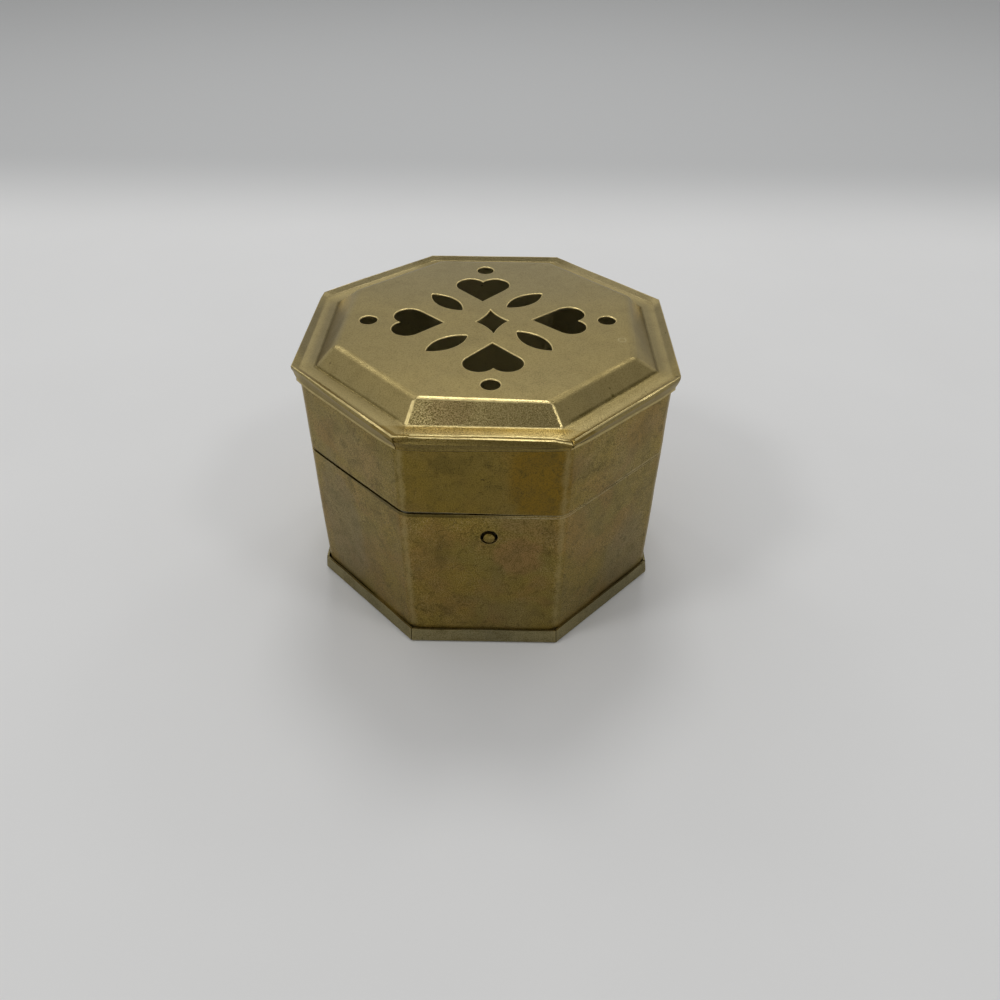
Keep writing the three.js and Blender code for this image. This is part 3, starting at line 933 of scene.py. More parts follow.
def along_corners(values, place, smooth=True):
    """A value given at each corner, carried along the sides between."""
    turn = (side_turns(place) - 0.5) % sides
    corner = int(turn) % sides
    share = rise(turn - int(turn), 0, 1) if smooth else turn - int(turn)
    return values[corner] + (values[(corner + 1) % sides] - values[corner]) * share


print("half way up a rise:", rise(0.5, 0, 1))

# %% [markdown]
# Lid sheet
#
# The real lid is one sheet pressed over a former: a raised panel, a bevel, a flat margin, then a
# rolled bead whose edge is folded down as a lip. It is drawn here as one closed section, outside and
# inside, because the bead is full of tight folds that a plain wall thickness would cross.
# The front bead carries two narrow ridges with a groove between, and the other sides one round bead,
# so the section of the front side is changed after the spin.

# %% Section of the lid
panel_inset = 0.2 * mm
# Points of the bead in millimetres: outwards from the margin's end, and up from the margin
round_bead = [(0, -0.04), (0.55, -0.08), (0.95, 0.12), (1.22, 0.36),
              (1.62, 0.22), (1.97, -0.25), (1.92, -0.6), (1.7, -0.9)]
sloped_bead = [(0.4, 0), (0.52, 0.04), (1.58, 0.78), (1.72, 0.84),
               (1.86, 0.8), (1.97, 0.6), (1.9, 0), (1.62, -0.7)]
front_bead_start = [(0, 0), (0.25, 0.08), (0.5, 0.01), (0.62, -0.12),
                    (0.8, -0.08), (1.08, -0.14), (1.45, -0.7), (1.97, -1)]
front_bead_left = [(0, 0), (0.06, 0.07), (0.42, -0.03), (0.53, -0.16),
                   (0.68, -0.11), (1.06, -0.21), (1.42, -0.72), (1.97, -1)]
front_bead_right = [(0, 0.05), (0.16, 0.28), (0.54, 0.18), (0.67, 0.02),
                    (0.82, 0.04), (1.2, -0.06), (1.5, -0.62), (1.97, -1)]
front_bead_end = [(0, -0.05), (0.5, -0.1), (0.9, -0.12), (1.2, -0.1),
                  (1.45, -0.02), (1.64, -0.1), (1.8, -0.5), (1.97, -0.95)]
lip_edge = [(1.6, -2.45), (1.68, -2.92), (1.45, -3.2), (0.95, -3.2)]
bead_underside = [(1, -0.8), (0.9, -0.45)]


def bead_point(shift):
    return (margin_end + shift[0] * mm, margin_top + shift[1] * mm)


lid_section = (
    [(panel_edge, lid_top), (bevel_foot, margin_top)]
    + [bead_point(shift) for shift in round_bead + lip_edge + bead_underside]
    + [(bevel_foot, margin_top - lid_sheet), (panel_edge - panel_inset, lid_top - lid_sheet)]
)
panel_points = (0, len(lid_section) - 1)
foot_points = (1, len(lid_section) - 2)
bead_start = 2
lip_start = bead_start + len(round_bead)
lip_points = range(lip_start, lip_start + len(lip_edge))
print("lid section:", len(lid_section), "points")

# %% [markdown]
# Hand work
#
# The real lid isn't a true octagon: its corners stray by a millimetre or so, and the edge of its
# panel by up to two and a half, which the eye takes for age and hand work. The strays were measured
# in the photograph at each corner, and are carried straight along the sides. The bead's outline
# changes from side to side, so each side blends one outline into the next.

# %% Strays at the corners and the bead of each side
# In millimetres along X, Y and Z, from the corner at the right's back anticlockwise
rim_strays = [(0, 0, 0.3), (0.4, 0, 0.35), (1.3, 0, 0.3), (0.5, 1.1, 0.45),
              (0, 0.2, 0.4), (-0.3, 0, 0.1), (0, 0, -0.4), (0, -0.3, -0.5)]
lip_strays = [(0, 0, 0.3), (0.4, 0, 0.3), (1.3, 0, 0.3), (0.4, 0.9, 0.4),
              (0, 0, 0.5), (0, 0, 0.15), (0, 0, 0.6), (0, 0, -0.4)]
panel_strays = [(0.6, 0.8, 0), (1.6, 0, 0), (0.8, 0, 0), (1.1, 2.2, 0),
                (-0.2, 1.7, 0), (-0.1, 0.7, 0), (-0.3, -0.5, 0), (-1.1, -1.8, 0)]


def stray_at(strays, place):
    """How far a place on the lid strays, straight along each side between its corners' strays."""
    return along_corners([Vector(stray) * mm for stray in strays], place, smooth=False)


def blend(first, second, share):
    return [(a + (c - a) * share, b + (d - b) * share) for (a, b), (c, d) in zip(first, second)]


def bead_at(side, along):
    """The bead's outline at a place on a side."""
    if side == front:
        ridges = blend(front_bead_left, front_bead_right, rise(along, -0.6, 0.7))
        ridges = blend(front_bead_start, ridges, rise(along, -1, -0.6))
        return blend(ridges, front_bead_end, rise(along, 0.86, 1))
    if side == front_left:
        return blend(sloped_bead, round_bead, rise(along, -0.9, 0.3))
    if side == front_right:
        return blend(round_bead, sloped_bead, rise(along, 0.5, 1))
    return sloped_bead


print("the panel's edge strays by up to", max(Vector(stray).length for stray in panel_strays), "mm")

# %% [markdown]
# How softly each edge is pressed
#
# A pressed edge is round, and each side's is a little different: the front bevel is the crispest.
# The Bevel modifier takes its width from a weight on each edge, so every edge is told here how round
# it is. The vertices also get a number that tells the finish which of them belong to the lip.

# %% Mark how softly each pressed edge is rounded
lid_cuts = 11
brown_bead_points = 3
soft_edge = 1.1 * mm
soft_mitre = 0.8 * mm
soft_foot = 0.25 * mm
front_top_edge = 0.55 * mm
front_foot = 0.24 * mm
front_mitres = {front_left: 0.42 * mm, front_right: 0.36 * mm}


def sides_beside(side, along):
    """The two sides that meet at the corner nearer to a place."""
    return {side, (side + round(along)) % sides}


def roundness(points, side, along):
    """The width of an edge's bevel, from its two section points and its place."""
    if points == [0, 0]:
        return front_top_edge if side == front else soft_edge
    if points == [1, 1]:
        return front_foot if side == front else soft_foot
    if points == [0, 1] and abs(along) > 0.99:
        beside = sides_beside(side, along)
        neighbour = (beside - {front}).pop()
        return front_mitres[neighbour] if front in beside else soft_mitre
    return 0.0


def nearest_section_point(place):
    reach = reach_of(place)
    gaps = [math.hypot(reach - point[0], place.z - point[1]) for point in lid_section]
    return gaps.index(min(gaps))


def lip_share(point):
    """How much a section point belongs to the lip: the bead's outer side is half lip, as painted shade.
    """
    if point == lip_start - brown_bead_points:
        return 0.4
    return 1.0 if lip_start - brown_bead_points < point <= lip_points[-1] else 0.0


lid_bm = octagonal(lid_section, lid_cuts)
lip = lid_bm.verts.layers.float.new("lip")
softness = lid_bm.edges.layers.float.new("bevel_weight_edge")
point_of = {vertex: nearest_section_point(vertex.co) for vertex in lid_bm.verts}
for vertex, point in point_of.items():
    vertex[lip] = lip_share(point)
for edge in lid_bm.edges:
    points = sorted(point_of[vertex] for vertex in edge.verts)
    edge[softness] = roundness(points, *side_of(edge_middle(edge))) / soft_edge
print("softened edges:", sum(edge[softness] > 0 for edge in lid_bm.edges))

# %% [markdown]
# Shape the pressed lid
#
# Each vertex still knows which point of the section it came from. So the bead's vertices take the
# outline of their side, the lip's wave a little and tuck in at the corners, and all of them follow
# the strays. Then the ring inside and the panel are closed, and the modifier rounds the edges.

# %% Shape the bead of each side and let the corners stray
bead_wave = (0.05 * mm, 12 * mm)
bead_height_wave = (0.06 * mm, 9 * mm)
lip_wave = (0.12 * mm, 10 * mm)
lip_tuck = 0.45 * mm
rim_limit = lid_rim - 0.02 * mm
# The round bead of the right front side starts close to its corner with the front
first_cut = 2 / (lid_cuts + 1) - 1
nearer_corner = Matrix.Rotation(2 * half_side_turn * front_right, 3, "Z") @ Vector((0, -2.1 * mm, 0))


def shape_vertex(vertex, point):
    place = vertex.co.copy()
    side, along = side_of(place)
    if bead_start <= point < lip_start:
        reach, height = bead_point(bead_at(side, along)[point - bead_start])
        place_at(vertex, reach + wobble(place, *bead_wave), height + wobble(place, *bead_height_wave))
        vertex.co += stray_at(rim_strays, place)
        if side == front_right and abs(along - first_cut) < 0.01:
            vertex.co += nearer_corner
    elif point in lip_points:
        wave = wobble(place, *lip_wave)
        tuck = lip_tuck * rise(abs(along), 0.7, 1)
        place_at(vertex, reach_of(place) + wave / 2 - tuck, place.z + wave)
        vertex.co += stray_at(lip_strays, place)
    elif point in panel_points:
        vertex.co += stray_at(panel_strays, place)
    elif point not in foot_points:
        vertex.co += stray_at(rim_strays, place)
    if reach_of(vertex.co) > rim_limit:
        place_at(vertex, rim_limit, vertex.co.z)


for vertex, point in point_of.items():
    shape_vertex(vertex, point)
bmesh.ops.holes_fill(lid_bm, edges=[edge for edge in lid_bm.edges if edge.is_boundary], sides=0)
point_outwards(lid_bm)
lid_piece = new_piece(lid_bm, "lid_sheet", "lid_brass")
modified(lid_piece, "BEVEL", width=soft_edge, segments=5, limit_method="WEIGHT", use_clamp_overlap=False)
print("pressed lid:", len(lid_piece.data.polygons), "faces")

# %% [markdown]
# Polish and painted highlights
#
# Bare metal is painted on what stands proud: partly the polish of sleeves and hands, partly painted
# highlight. The crest of the bead shines, at the two front corners so does the lip's foot, and the
# edges of the front bevel are bare metal. Each face of the pressed lid is asked where it lies and how
# it tilts, and gets the number that the finish reads as wear and painted highlight.

# %% Polish the raised edges and paint their highlights
crest_drop = 0.62 * mm
crest_shine = {front: 0.9, front_left: 1.0, front_right: 1.0}
# In degrees: tilts from level of the crest and the rounded edges, where a slope begins, and how far
# a mitre's faces are turned away from their side
crest_tilts = (5, 32)
edge_tilts = (5, 36)
slope_tilt = 30
mitre_turn = math.radians(5)
lip_foot_drops = (2.5 * mm, 2.9 * mm)
up = Vector((0, 0, 1))


def polish_and_highlight_of(face):
    """How much wear and painted highlight a face of the pressed lid gets, from 0 to 1."""
    middle = face.calc_center_median()
    side, along = side_of(middle)
    reach = reach_of(middle)
    tilt = math.degrees(face.normal.angle(up))
    side_turn = side * 2 * half_side_turn
    outward = face.normal.dot(Vector((math.cos(side_turn), math.sin(side_turn), 0)))
    if reach > margin_end:
        if middle.z > margin_top - crest_drop and outward > 0 and crest_tilts[0] < tilt < crest_tilts[1]:
            return crest_shine.get(side, 0.4)
        drop = margin_top - middle.z + stray_at(lip_strays, middle).z
        if side in (front_left, front_right) and lip_foot_drops[0] < drop < lip_foot_drops[1]:
            return 0.5
    on_edge = edge_tilts[0] < tilt < edge_tilts[1]
    if on_edge and abs(reach - panel_edge) < soft_edge:
        return 1.0 if side == front else 0.0
    if on_edge and abs(reach - bevel_foot) < front_foot and side == front:
        return 0.7
    on_slope = panel_edge + front_top_edge < reach < bevel_foot and tilt > slope_tilt
    if on_slope and outward < math.sin(math.radians(tilt)) * math.cos(mitre_turn):
        return 1.0 if front in sides_beside(side, along) else 0.2
    return 0.0


polish_and_highlight_bm = bmesh.new()
polish_and_highlight_bm.from_mesh(lid_piece.data)
wear_and_highlight = polish_and_highlight_bm.faces.layers.float.new("wear_and_highlight")
# Wear and painted highlight on each face of the lid
for face in polish_and_highlight_bm.faces:
    face[wear_and_highlight] = polish_and_highlight_of(face)
print("polished faces:", sum(face[wear_and_highlight] > 0 for face in polish_and_highlight_bm.faces))
polish_and_highlight_bm.to_mesh(lid_piece.data)
polish_and_highlight_bm.free()

# %% [markdown]
# Pierced pattern
#
# Four hearts, four leaves and four dots were sawn round a four-pointed star, each a few degrees off
# true. Every outline is drawn with spins of one vertex about an arc's centre, mirrored where it is
# even, filled, and pulled up into a saw cut that is taken out of the sheet.

# %% Sizes of the pattern
heart_length = 12.1 * mm
heart_width = 12.9 * mm
lobe_overlap = 0.45 * mm
heart_tip_reach = 10.2 * mm
leaf_length = 11.2 * mm
leaf_width = 4.7 * mm
leaf_tip_round = 0.3 * mm
leaf_reach = 13.65 * mm
dot_radius = 2 * mm
dot_reach = 27.3 * mm
star_half_width = 3.6 * mm
star_half_depth = 5.5 * mm
star_side_hollow = 0.42 * mm
star_set_right = 0.9 * mm
star_turn = 5
# Each quarter's strays: the heart's length as a share, then swings round the middle and leans in degrees
saw_quarters = [
    {"length_share": 1, "heart": (3.5, -3.4), "dot_swing": 2.5, "leaf": (6.7, -10.3)},
    {"length_share": 1, "heart": (5.8, -4.8), "dot_swing": 2.7, "leaf": (2, -3.8)},
    {"length_share": 0.95, "heart": (3.5, -3.1), "dot_swing": 0.8, "leaf": (5, -10.5)},
    {"length_share": 1, "heart": (5, -3), "dot_swing": 2.4, "leaf": (4.4, -6.7)},
]
heart_steps, leaf_steps, dot_steps, star_steps = 18, 14, 28, 6
print("hearts", heart_length, "leaves", leaf_length, "dots", dot_radius)

# %% Arcs and the outlines that they make
def even_outline(points, centre, turn, steps, mirrors):
    """Draws points, goes on from the last with an arc to the mirror line, and mirrors the lot."""
    bm = bmesh.new()
    start = add_chain(bm, points)[-1]
    spun = bmesh.ops.spin(bm, geom=[start], cent=centre, axis=(0, 0, 1), dvec=(0, 0, 0), angle=turn,
                          steps=steps)
    vertices_in(spun["geom_last"])[0].co["XY".index(mirrors[0])] = 0
    for axis in mirrors:
        bmesh.ops.mirror(bm, geom=bm.verts[:] + bm.edges[:], matrix=Matrix.Identity(4),
                         merge_dist=same_place, axis=axis)
    return bm


def heart_outline(length):
    lobe = heart_width / 4 + lobe_overlap / 2
    centre = Vector((length - lobe, heart_width / 2 - lobe, 0))
    slope = math.atan2(centre.y, centre.x) + math.asin(lobe / centre.length)
    turn = slope + math.pi / 2 + math.asin(centre.y / lobe)
    shoulder = centre + lobe * Vector((-math.sin(slope), math.cos(slope), 0))
    bm = even_outline([(0, 0, 0), shoulder], centre, -turn, heart_steps, "Y")
    bmesh.ops.translate(bm, verts=bm.verts, vec=(-length / 2, 0, 0))
    return bm


def leaf_outline():
    radius = (leaf_length ** 2 + leaf_width ** 2) / (4 * leaf_width)
    turn = 2 * math.asin(leaf_length / 2 / radius)
    centre = (0, radius - leaf_width / 2, 0)
    bm = even_outline([(-leaf_length / 2, 0, 0)], centre, turn, leaf_steps, "Y")
    tips = [vertex for vertex in bm.verts if abs(vertex.co.y) < same_place]
    round_corners(bm, tips, leaf_tip_round, 3)
    return bm


def dot_outline():
    bm = bmesh.new()
    bmesh.ops.create_circle(bm, cap_ends=False, segments=dot_steps, radius=dot_radius)
    return bm


def star_outline():
    half_chord = math.hypot(star_half_width, star_half_depth) / 2
    radius = (half_chord ** 2 + star_side_hollow ** 2) / (2 * star_side_hollow)
    outward = Vector((star_half_depth, star_half_width, 0)).normalized()
    centre = Vector((star_half_width, star_half_depth, 0)) / 2 + outward * (radius - star_side_hollow)
    turn = -2 * math.asin(half_chord / radius)
    return even_outline([(star_half_width, 0, 0)], centre, turn, star_steps, "XY")


print("outlines have", heart_steps, leaf_steps, dot_steps, star_steps, "steps")

# %% [markdown]
# Saw and file the pattern
#
# The twelve cutters and the star are gathered in one bmesh, so that the sheet is cut once. Then the
# upper edges of the holes are rounded and marked for wear and painted highlight: they are the light
# lines round each hole.

# %% Saw the pattern
saw_start = lid_top - 2 * mm
saw_stroke = 4 * mm
hole_edge = 0.24 * mm


def add_saw_cut(cutters, outline, reach, swing, lean=0):
    """Fills an outline, pulls it up through the sheet and puts it in its place on the lid."""
    bmesh.ops.contextual_create(outline, geom=outline.edges[:])
    bmesh.ops.translate(outline, verts=outline.verts, vec=(0, 0, saw_start))
    pulled = bmesh.ops.extrude_face_region(outline, geom=outline.faces[:])
    bmesh.ops.translate(outline, verts=vertices_in(pulled["geom"]), vec=(0, 0, saw_stroke))
    swung = turned_about("Z", math.radians(swing)) @ Matrix.Translation((reach, 0, 0))
    leant = swung @ turned_about("Z", math.radians(lean))
    bmesh.ops.transform(outline, verts=outline.verts, matrix=leant)
    part = bpy.data.meshes.new("saw_cut")
    outline.to_mesh(part)
    outline.free()
    cutters.from_mesh(part)
    bpy.data.meshes.remove(part)


def on_panel_top(edge):
    return min(vertex.co.z for vertex in edge.verts) > lid_top - level


saw_cuts = bmesh.new()
for quarter, stray in enumerate(saw_quarters):
    across = 90 * quarter
    length = heart_length * stray["length_share"]
    swing, lean = stray["heart"]
    add_saw_cut(saw_cuts, heart_outline(length), heart_tip_reach + length / 2, across + swing, lean)
    swing, lean = stray["leaf"]
    add_saw_cut(saw_cuts, leaf_outline(), leaf_reach, across + 45 + swing, lean)
    add_saw_cut(saw_cuts, dot_outline(), dot_reach, across + stray["dot_swing"])
add_saw_cut(saw_cuts, star_outline(), star_set_right, 0, star_turn)
cut(lid_piece, saw_cuts)
soften(lid_piece, hole_edge, 3, 1.0, on_panel_top)
print("sawn lid:", len(lid_piece.data.polygons), "faces")

# %% [markdown]
# Corner joints
#
# Each side's lip is a flap of its own, so at every corner two flaps meet in a narrow open joint.
# A thin blade cut down the corner gives that dark line. The base's flaps meet the same way.

# %% Cut the joints of a folded edge
overrun = 1 * mm
lid_joint_width = 0.16 * mm
lid_joint_inside = wall_face + 0.02 * mm
lid_joint_low = margin_top - 5 * mm
lid_joint_high = margin_top + 0.1 * mm
lip_edge_round = 0.1 * mm


def cut_joints(piece, inside, outside, bottom, top, width):
    """Cuts a thin upright joint across each corner, between two reaches and two heights."""
    inner, outer = inside * to_corner, outside * to_corner + overrun
    shape = Matrix.Diagonal((outer - inner, width, top - bottom, 1))
    middle = Matrix.Translation(((inner + outer) / 2, 0, (bottom + top) / 2))
    blades = bmesh.new()
    for corner in range(sides):
        turn = turned_about("Z", (2 * corner + 1) * half_side_turn)
        bmesh.ops.create_cube(blades, size=1, matrix=turn @ middle @ shape)
    cut(piece, blades)


cut_joints(lid_piece, lid_joint_inside, lid_rim, lid_joint_low, lid_joint_high, lid_joint_width)
soften(lid_piece, lip_edge_round, 2, 0.5)
hand_over(lid_piece, "lid", "lid_plate")

# %% [markdown]
# Walls
#
# Both walls are one long strip bent round the octagon and soldered into a ring. A circle of eight
# points, its corners rounded, is pulled up into a thin shell and given its wall. The box was sawn in
# two after it was bent, so the saw line wanders: one curve of heights cuts both walls, with a gap
# that is open on the left and nearly shut on the right.

# %% The wandering saw line
# How high the saw line is above true, and how wide its gap is, in millimetres at each corner
saw_line_strays = [0, 0, 0, 0, -0.45, 0.5, 0.25, -0.38]
saw_gaps = [0.16, 0.24, 0.24, 0.4, 0.66, 0.62, 0.05, 0.05]


def wall_edge(place, direction):
    """The height of a wall's sawn edge: the body's with direction -1, the lid's with 1."""
    stray = along_corners(saw_line_strays, place)
    gap = along_corners(saw_gaps, place)
    return seam_height + (stray + direction * gap / 2) * mm


print("the lid wall's edge in front:", wall_edge(Vector((0, -wall_face, 0)), 1))

# %% Bend the two walls
corner_radius = 4 * mm
corner_steps = 6
wall_rows = 6
wall_columns = 9
wall_dent = (0.12 * mm, 14 * mm)
mean_dent = 0.04 * mm
wall_edge_round = 0.18 * mm
button_low, button_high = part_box("catch_button")
button_right = (button_low.x + button_high.x) / 2
button_middle = (button_low.z + button_high.z) / 2
button_radius = (button_high.x - button_low.x) / 2
button_hole_radius = 1.9 * mm
drill_depth = 4 * mm
round_steps = 40


def wall_shell(name, bottom, top, sawn_above):
    """A bent strip between two heights, whose top or bottom edge follows the saw line."""
    bm = bmesh.new()
    bmesh.ops.create_circle(bm, cap_ends=True, segments=sides, radius=wall_face * to_corner,
                            matrix=turned_about("Z", half_side_turn))
    round_corners(bm, bm.verts[:], corner_radius * math.tan(half_side_turn), corner_steps)
    long_edges = [edge for edge in bm.edges if edge.calc_length() > corner_radius]
    bmesh.ops.subdivide_edges(bm, edges=long_edges, cuts=wall_columns)
    bmesh.ops.delete(bm, geom=bm.faces[:], context="FACES_ONLY")
    pull(bm, bm.edges[:], (0, 0, 1))
    upright = [edge for edge in bm.edges if abs(edge.verts[0].co.z - edge.verts[1].co.z) > 0.5]
    bmesh.ops.subdivide_edges(bm, edges=upright, cuts=wall_rows, use_grid_fill=True)
    for vertex in bm.verts:
        sawn = wall_edge(vertex.co, -1 if sawn_above else 1)
        low, high = (bottom, sawn) if sawn_above else (sawn, top)
        vertex.co.z = low + (high - low) * vertex.co.z
        dent = wobble(vertex.co, *wall_dent) - mean_dent
        place_at(vertex, reach_of(vertex.co) + dent, vertex.co.z)
    point_outwards(bm)
    piece = new_piece(bm, name, "wall_brass")
    thicken(piece, band_wall)
    return piece


def drill(piece, places, radius):
    """Drills round holes from front to back through a piece."""
    drills = bmesh.new()
    for place in places:
        matrix = Matrix.Translation(place) @ turned_about("X", math.pi / 2)
        bmesh.ops.create_cone(drills, cap_ends=True, segments=round_steps, radius1=radius, radius2=radius,
                              depth=drill_depth, matrix=matrix)
    cut(piece, drills)


body_wall = wall_shell("body_wall", body_band_low.z, body_band_high.z, True)
drill(body_wall, [(button_right, -wall_face, button_middle)], button_hole_radius)
lid_wall = wall_shell("lid_wall", lid_band_low.z, lid_band_high.z, False)
for wall, body in ((body_wall, "body"), (lid_wall, "lid")):
    soften(wall, wall_edge_round, 3, 0.6)
    hand_over(wall, body, body + "_band")

# %% [markdown]
# Base tray
#
# The base is a flat octagon whose edge is folded up round the body in eight flaps, like a shallow
# tray. The section of its outer skin is spun, the fold is rounded, and the skin gets the sheet's
# thickness inwards. The flaps' upper edges were cut by eye, so they wave a little.

# %% Base tray
base_rim = base_high.x
base_fold = 0.5 * mm
flap_lean = 0.4 * mm
base_cuts = 9
base_soft_fold = 0.25 * mm
base_joint_width = 0.2 * mm
base_joint_inside = wall_face - 0.4 * mm
flap_edge_round = 0.12 * mm
flap_wave = (0.3 * mm, 11 * mm)
flap_mean_drop = 0.12 * mm
flap_bow = (0.16 * mm, 8 * mm)
flap_mean_bow = 0.05 * mm
base_section = [
    (base_rim - base_fold, 0), (base_rim, base_fold), (base_rim - flap_lean / 2, base_high.z * 0.6),
    (base_rim - flap_lean, base_high.z),
]
base_bm = octagonal(base_section, base_cuts)
for vertex in base_bm.verts:
    if vertex.co.z > base_fold * 2:
        share = vertex.co.z / base_high.z
        drop = wobble(vertex.co, *flap_wave) - flap_mean_drop
        bow = wobble(vertex.co, *flap_bow) - flap_mean_bow
        place_at(vertex, reach_of(vertex.co) + bow * share, vertex.co.z + drop * share)
edges = [edge for edge in base_bm.edges if edge.is_boundary and edge.verts[0].co.z < base_fold / 2]
bmesh.ops.contextual_create(base_bm, geom=edges)
point_outwards(base_bm)
base_tray = new_piece(base_bm, "base_tray", "base_brass")
modified(base_tray, "BEVEL", width=base_soft_fold, segments=3, limit_method="ANGLE",
         angle_limit=math.radians(30))
thicken(base_tray, base_sheet)
cut_joints(base_tray, base_joint_inside, base_rim, base_fold, base_high.z + overrun, base_joint_width)
soften(base_tray, flap_edge_round, 2, 0.5)
hand_over(base_tray, "body", "base_plate")

# %% [markdown]
# Hinge
#
# A butt hinge is two strips of sheet whose edges are rolled into knuckles round one pin. Each leaf
# starts as a row of vertices at its free edge. The row is pulled down to the pin, and only this
# leaf's knuckles go on: they are spun most of a turn about the pin, then the strip gets its sheet.

# %% Sizes of the hinge
pin_low, pin_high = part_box("hinge_pin")
leaf_low, leaf_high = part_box("body_hinge_leaf")
hinge_half_length = leaf_high.x
pin_y = (pin_low.y + pin_high.y) / 2
barrel_radius = leaf_high.y - pin_y
leaf_sheet = 0.6 * mm
leaf_y = pin_y - (barrel_radius - leaf_sheet / 2)
leaf_height = seam_height - leaf_low.z
knuckle_count = 5
knuckle_gap = 0.15 * mm
knuckle_pitch = (2 * hinge_half_length + knuckle_gap) / knuckle_count
knuckle_notch = barrel_radius + 0.25 * mm
roll_turn = math.radians(318)
roll_steps = 22
rivet_places = [-7 * mm, 7 * mm]
rivet_from_pin = 5 * mm
rivet_hole_radius = 0.9 * mm
leaf_edge_round = 0.08 * mm
print("knuckle pitch", knuckle_pitch)

# %% Roll the leaves
def knuckle_ends(index):
    start = -hinge_half_length + index * knuckle_pitch
    return start, start + knuckle_pitch - knuckle_gap


def hinge_leaf(name, side, own, body):
    """A leaf below the pin with side -1, above it with side 1, and the numbers of its own knuckles."""
    bm = bmesh.new()
    stops = sorted(stop for index in range(knuckle_count) for stop in knuckle_ends(index))
    add_chain(bm, [(stop, leaf_y, seam_height + side * leaf_height) for stop in stops])
    edges = pull(bm, bm.edges[:], (0, 0, -side * (leaf_height - knuckle_notch)))
    spans = [knuckle_ends(index) for index in own]
    rolled = [edge for edge in edges if any(low < edge_middle(edge).x < high for low, high in spans)]
    rolled = pull(bm, rolled, (0, 0, -side * knuckle_notch))
    ends = {vertex for edge in rolled for vertex in edge.verts}
    bmesh.ops.spin(bm, geom=list(ends) + rolled, cent=(0, pin_y, seam_height), axis=(1, 0, 0),
                   dvec=(0, 0, 0), angle=side * roll_turn, steps=roll_steps)
    point_outwards(bm)
    leaf = new_piece(bm, name, "hinge_brass")
    thicken(leaf, leaf_sheet, 0)
    rivet_z = seam_height + side * rivet_from_pin
    drill(leaf, [(x, leaf_y, rivet_z) for x in rivet_places], rivet_hole_radius)
    soften(leaf, leaf_edge_round, 2, 0.4)
    hand_over(leaf, body, body + "_hinge_leaf")


hinge_leaf("hinge_leaf_of_body", -1, (0, 2, 4), "body")
hinge_leaf("hinge_leaf_of_lid", 1, (1, 3), "lid")

# %% [markdown]
# Turned pieces
#
# The pin, the rivets, the push button and the rod it holds are all round. Half of the section is
# drawn beside an axis, its corners are rounded, and one full spin closes it. The points on the axis
# all fall together, so doubles are merged there and the normals are worked out again.

# %% Spin a round piece
toward_right = turned_about("Y", math.pi / 2)
toward_back = turned_about("X", -math.pi / 2)


def turned(name, slot, outline, rounding, place, direction, body, node):
    """Spins (radius, height) points about Z, after rounding the outline's corners, and places it."""
    bm = bmesh.new()
    chain = add_chain(bm, [(radius, 0, height) for radius, height in outline])
    round_corners(bm, chain[1:-1], rounding, 4)
    full_spin(bm, round_steps)
    bmesh.ops.remove_doubles(bm, verts=bm.verts[:], dist=2 * same_place)
    bmesh.ops.transform(bm, verts=bm.verts[:], matrix=Matrix.Translation(place) @ direction)
    point_outwards(bm)
    hand_over(new_piece(bm, name, slot), body, node)


print("a full spin has", round_steps, "steps")

# %% [markdown]
# Pin and rivets
#
# The pin is a plain rod with a flat head at each end, and its length runs along X. A rivet's shank
# goes through leaf and wall. Its domed head lies on the leaf, and its tail was hammered flat inside.

# %% Pin and rivets
pin_radius = 0.7 * mm
pin_head_radius = (pin_high.z - pin_low.z) / 2
pin_head_length = 0.4 * mm
pin_edge = 0.15 * mm
left_head, right_head = pin_low.x + pin_head_length, pin_high.x - pin_head_length
pin_outline = [
    (0, pin_low.x), (pin_head_radius, pin_low.x), (pin_head_radius, left_head), (pin_radius, left_head),
    (pin_radius, right_head), (pin_head_radius, right_head), (pin_head_radius, pin_high.x),
    (0, pin_high.x),
]
turned("pin", "hinge_brass", pin_outline, pin_edge, (0, pin_y, seam_height), toward_right,
       "body", "hinge_pin")

shank_radius = 0.8 * mm
rivet_head_radius = 1.4 * mm
dome_radius_shares = (0.86, 0.5)
dome_drop = 0.16 * mm
rivet_tail_radius = 1.3 * mm
rivet_tail_height = 0.35 * mm
rivet_edge = 0.1 * mm
head_bottom = leaf_y + leaf_sheet / 2 + 0.02 * mm


def add_rivet(body, place, x, z):
    node = f"{body}_hinge_rivet_{place}"
    low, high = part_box(node)
    tail_top = low.y + rivet_tail_height
    shoulder, crown = (rivet_head_radius * share for share in dome_radius_shares)
    outline = [
        (0, low.y), (rivet_tail_radius, low.y), (rivet_tail_radius, tail_top), (shank_radius, tail_top),
        (shank_radius, head_bottom), (rivet_head_radius, head_bottom), (shoulder, high.y - dome_drop),
        (crown, high.y), (0, high.y),
    ]
    turned(f"rivet_{body}_{place}", "hinge_brass", outline, rivet_edge, (x, 0, z), toward_back,
           body, node)


for body, side in (("body", -1), ("lid", 1)):
    for place, x in zip(("left", "right"), rivet_places):
        add_rivet(body, place, x, seam_height + side * rivet_from_pin)

# %% [markdown]
# Catch
#
# Inside the front wall a springy strip is soldered by its foot. It carries the push button, and its
# bent end snaps over a rod in the lid. The strip is one chain of straight runs with rounded bends,
# pulled sideways to its width and given its sheet.

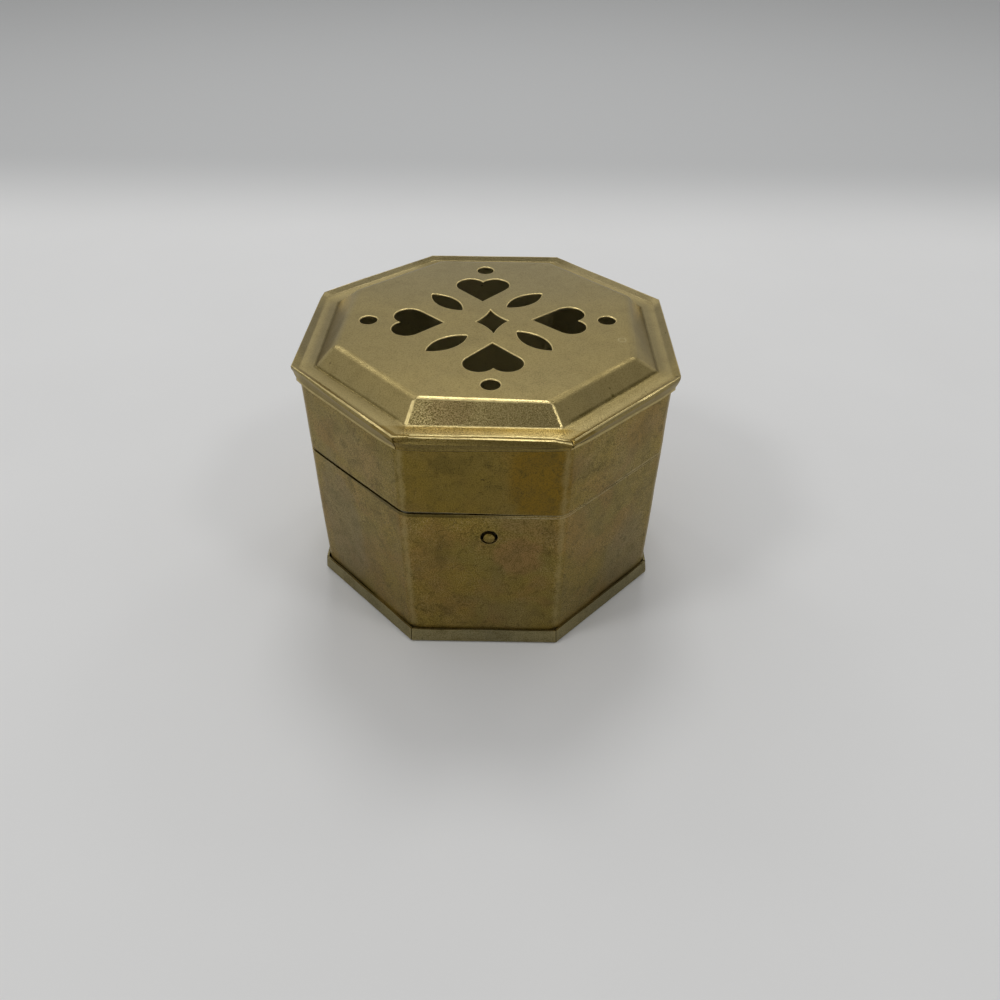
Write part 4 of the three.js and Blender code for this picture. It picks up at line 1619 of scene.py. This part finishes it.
# %% Spring strip
spring_low, spring_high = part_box("catch_spring")
rod_low, rod_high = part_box("keeper_rod")
rod_radius = (rod_high.z - rod_low.z) / 2
rod_y = (rod_low.y + rod_high.y) / 2
rod_z = (rod_low.z + rod_high.z) / 2
spring_sheet = 0.4 * mm
spring_foot = 6 * mm
spring_step = 2 * mm
spring_bend = 0.45 * mm
hook_start = 0.1 * mm
hook_top = Vector((-0.1, 1.57)) * mm
hook_reach = 0.838 * mm
spring_hole_radius = 0.8 * mm
spring_edge = 0.06 * mm
blade_y = spring_high.y - spring_sheet
spring_line = [
    (spring_low.y, spring_low.z), (spring_low.y, spring_low.z + spring_foot),
    (blade_y, spring_low.z + spring_foot + spring_step), (blade_y, rod_z + hook_start),
    (rod_y + hook_top.x, rod_z + hook_top.y), (rod_y + hook_reach, spring_high.z),
]
spring_bm = bmesh.new()
chain = add_chain(spring_bm, [(spring_low.x, y, z) for y, z in spring_line])
round_corners(spring_bm, chain[1:-1], spring_bend, 5)
pull(spring_bm, spring_bm.edges[:], (spring_high.x - spring_low.x, 0, 0))
point_outwards(spring_bm)
front_most = min(spring_bm.faces, key=lambda face: face.calc_center_median().y)
if front_most.normal.y > 0:
    bmesh.ops.reverse_faces(spring_bm, faces=spring_bm.faces[:])
spring = new_piece(spring_bm, "spring_strip", "spring_brass")
thicken(spring, spring_sheet)
drill(spring, [(button_right, blade_y, button_middle)], spring_hole_radius)
soften(spring, spring_edge, 2, 0.3)
hand_over(spring, "catch", "catch_spring")

# %% [markdown]
# Button and rod
#
# The button is a small stud: a slightly domed face, a neck through the strip and a wider tail that
# holds it there. The rod is the plainest piece of all, and the strip's bent end rests over it.

# %% Push button and rod
button_face_share = 0.7
button_dome = 0.2 * mm
button_face_drop = 0.03 * mm
button_neck_radius = 0.7 * mm
button_tail_radius = 1.1 * mm
solder_gap = 0.1 * mm
button_edge = 0.08 * mm
rod_edge = 0.12 * mm
neck_start = blade_y - solder_gap
neck_end = blade_y + spring_sheet + solder_gap
button_outline = [
    (0, button_low.y), (button_radius * button_face_share, button_low.y + button_face_drop),
    (button_radius, button_low.y + button_dome), (button_radius, neck_start),
    (button_neck_radius, neck_start), (button_neck_radius, neck_end), (button_tail_radius, neck_end),
    (button_tail_radius, button_high.y), (0, button_high.y),
]
rod_outline = [(0, rod_low.x), (rod_radius, rod_low.x), (rod_radius, rod_high.x), (0, rod_high.x)]
turned("push_button", "wall_brass", button_outline, button_edge, (button_right, 0, button_middle),
       toward_back, "catch", "catch_button")
turned("rod", "spring_brass", rod_outline, rod_edge, (0, rod_y, rod_z), toward_right,
       "lid", "keeper_rod")

# %% [markdown]
# Close
#
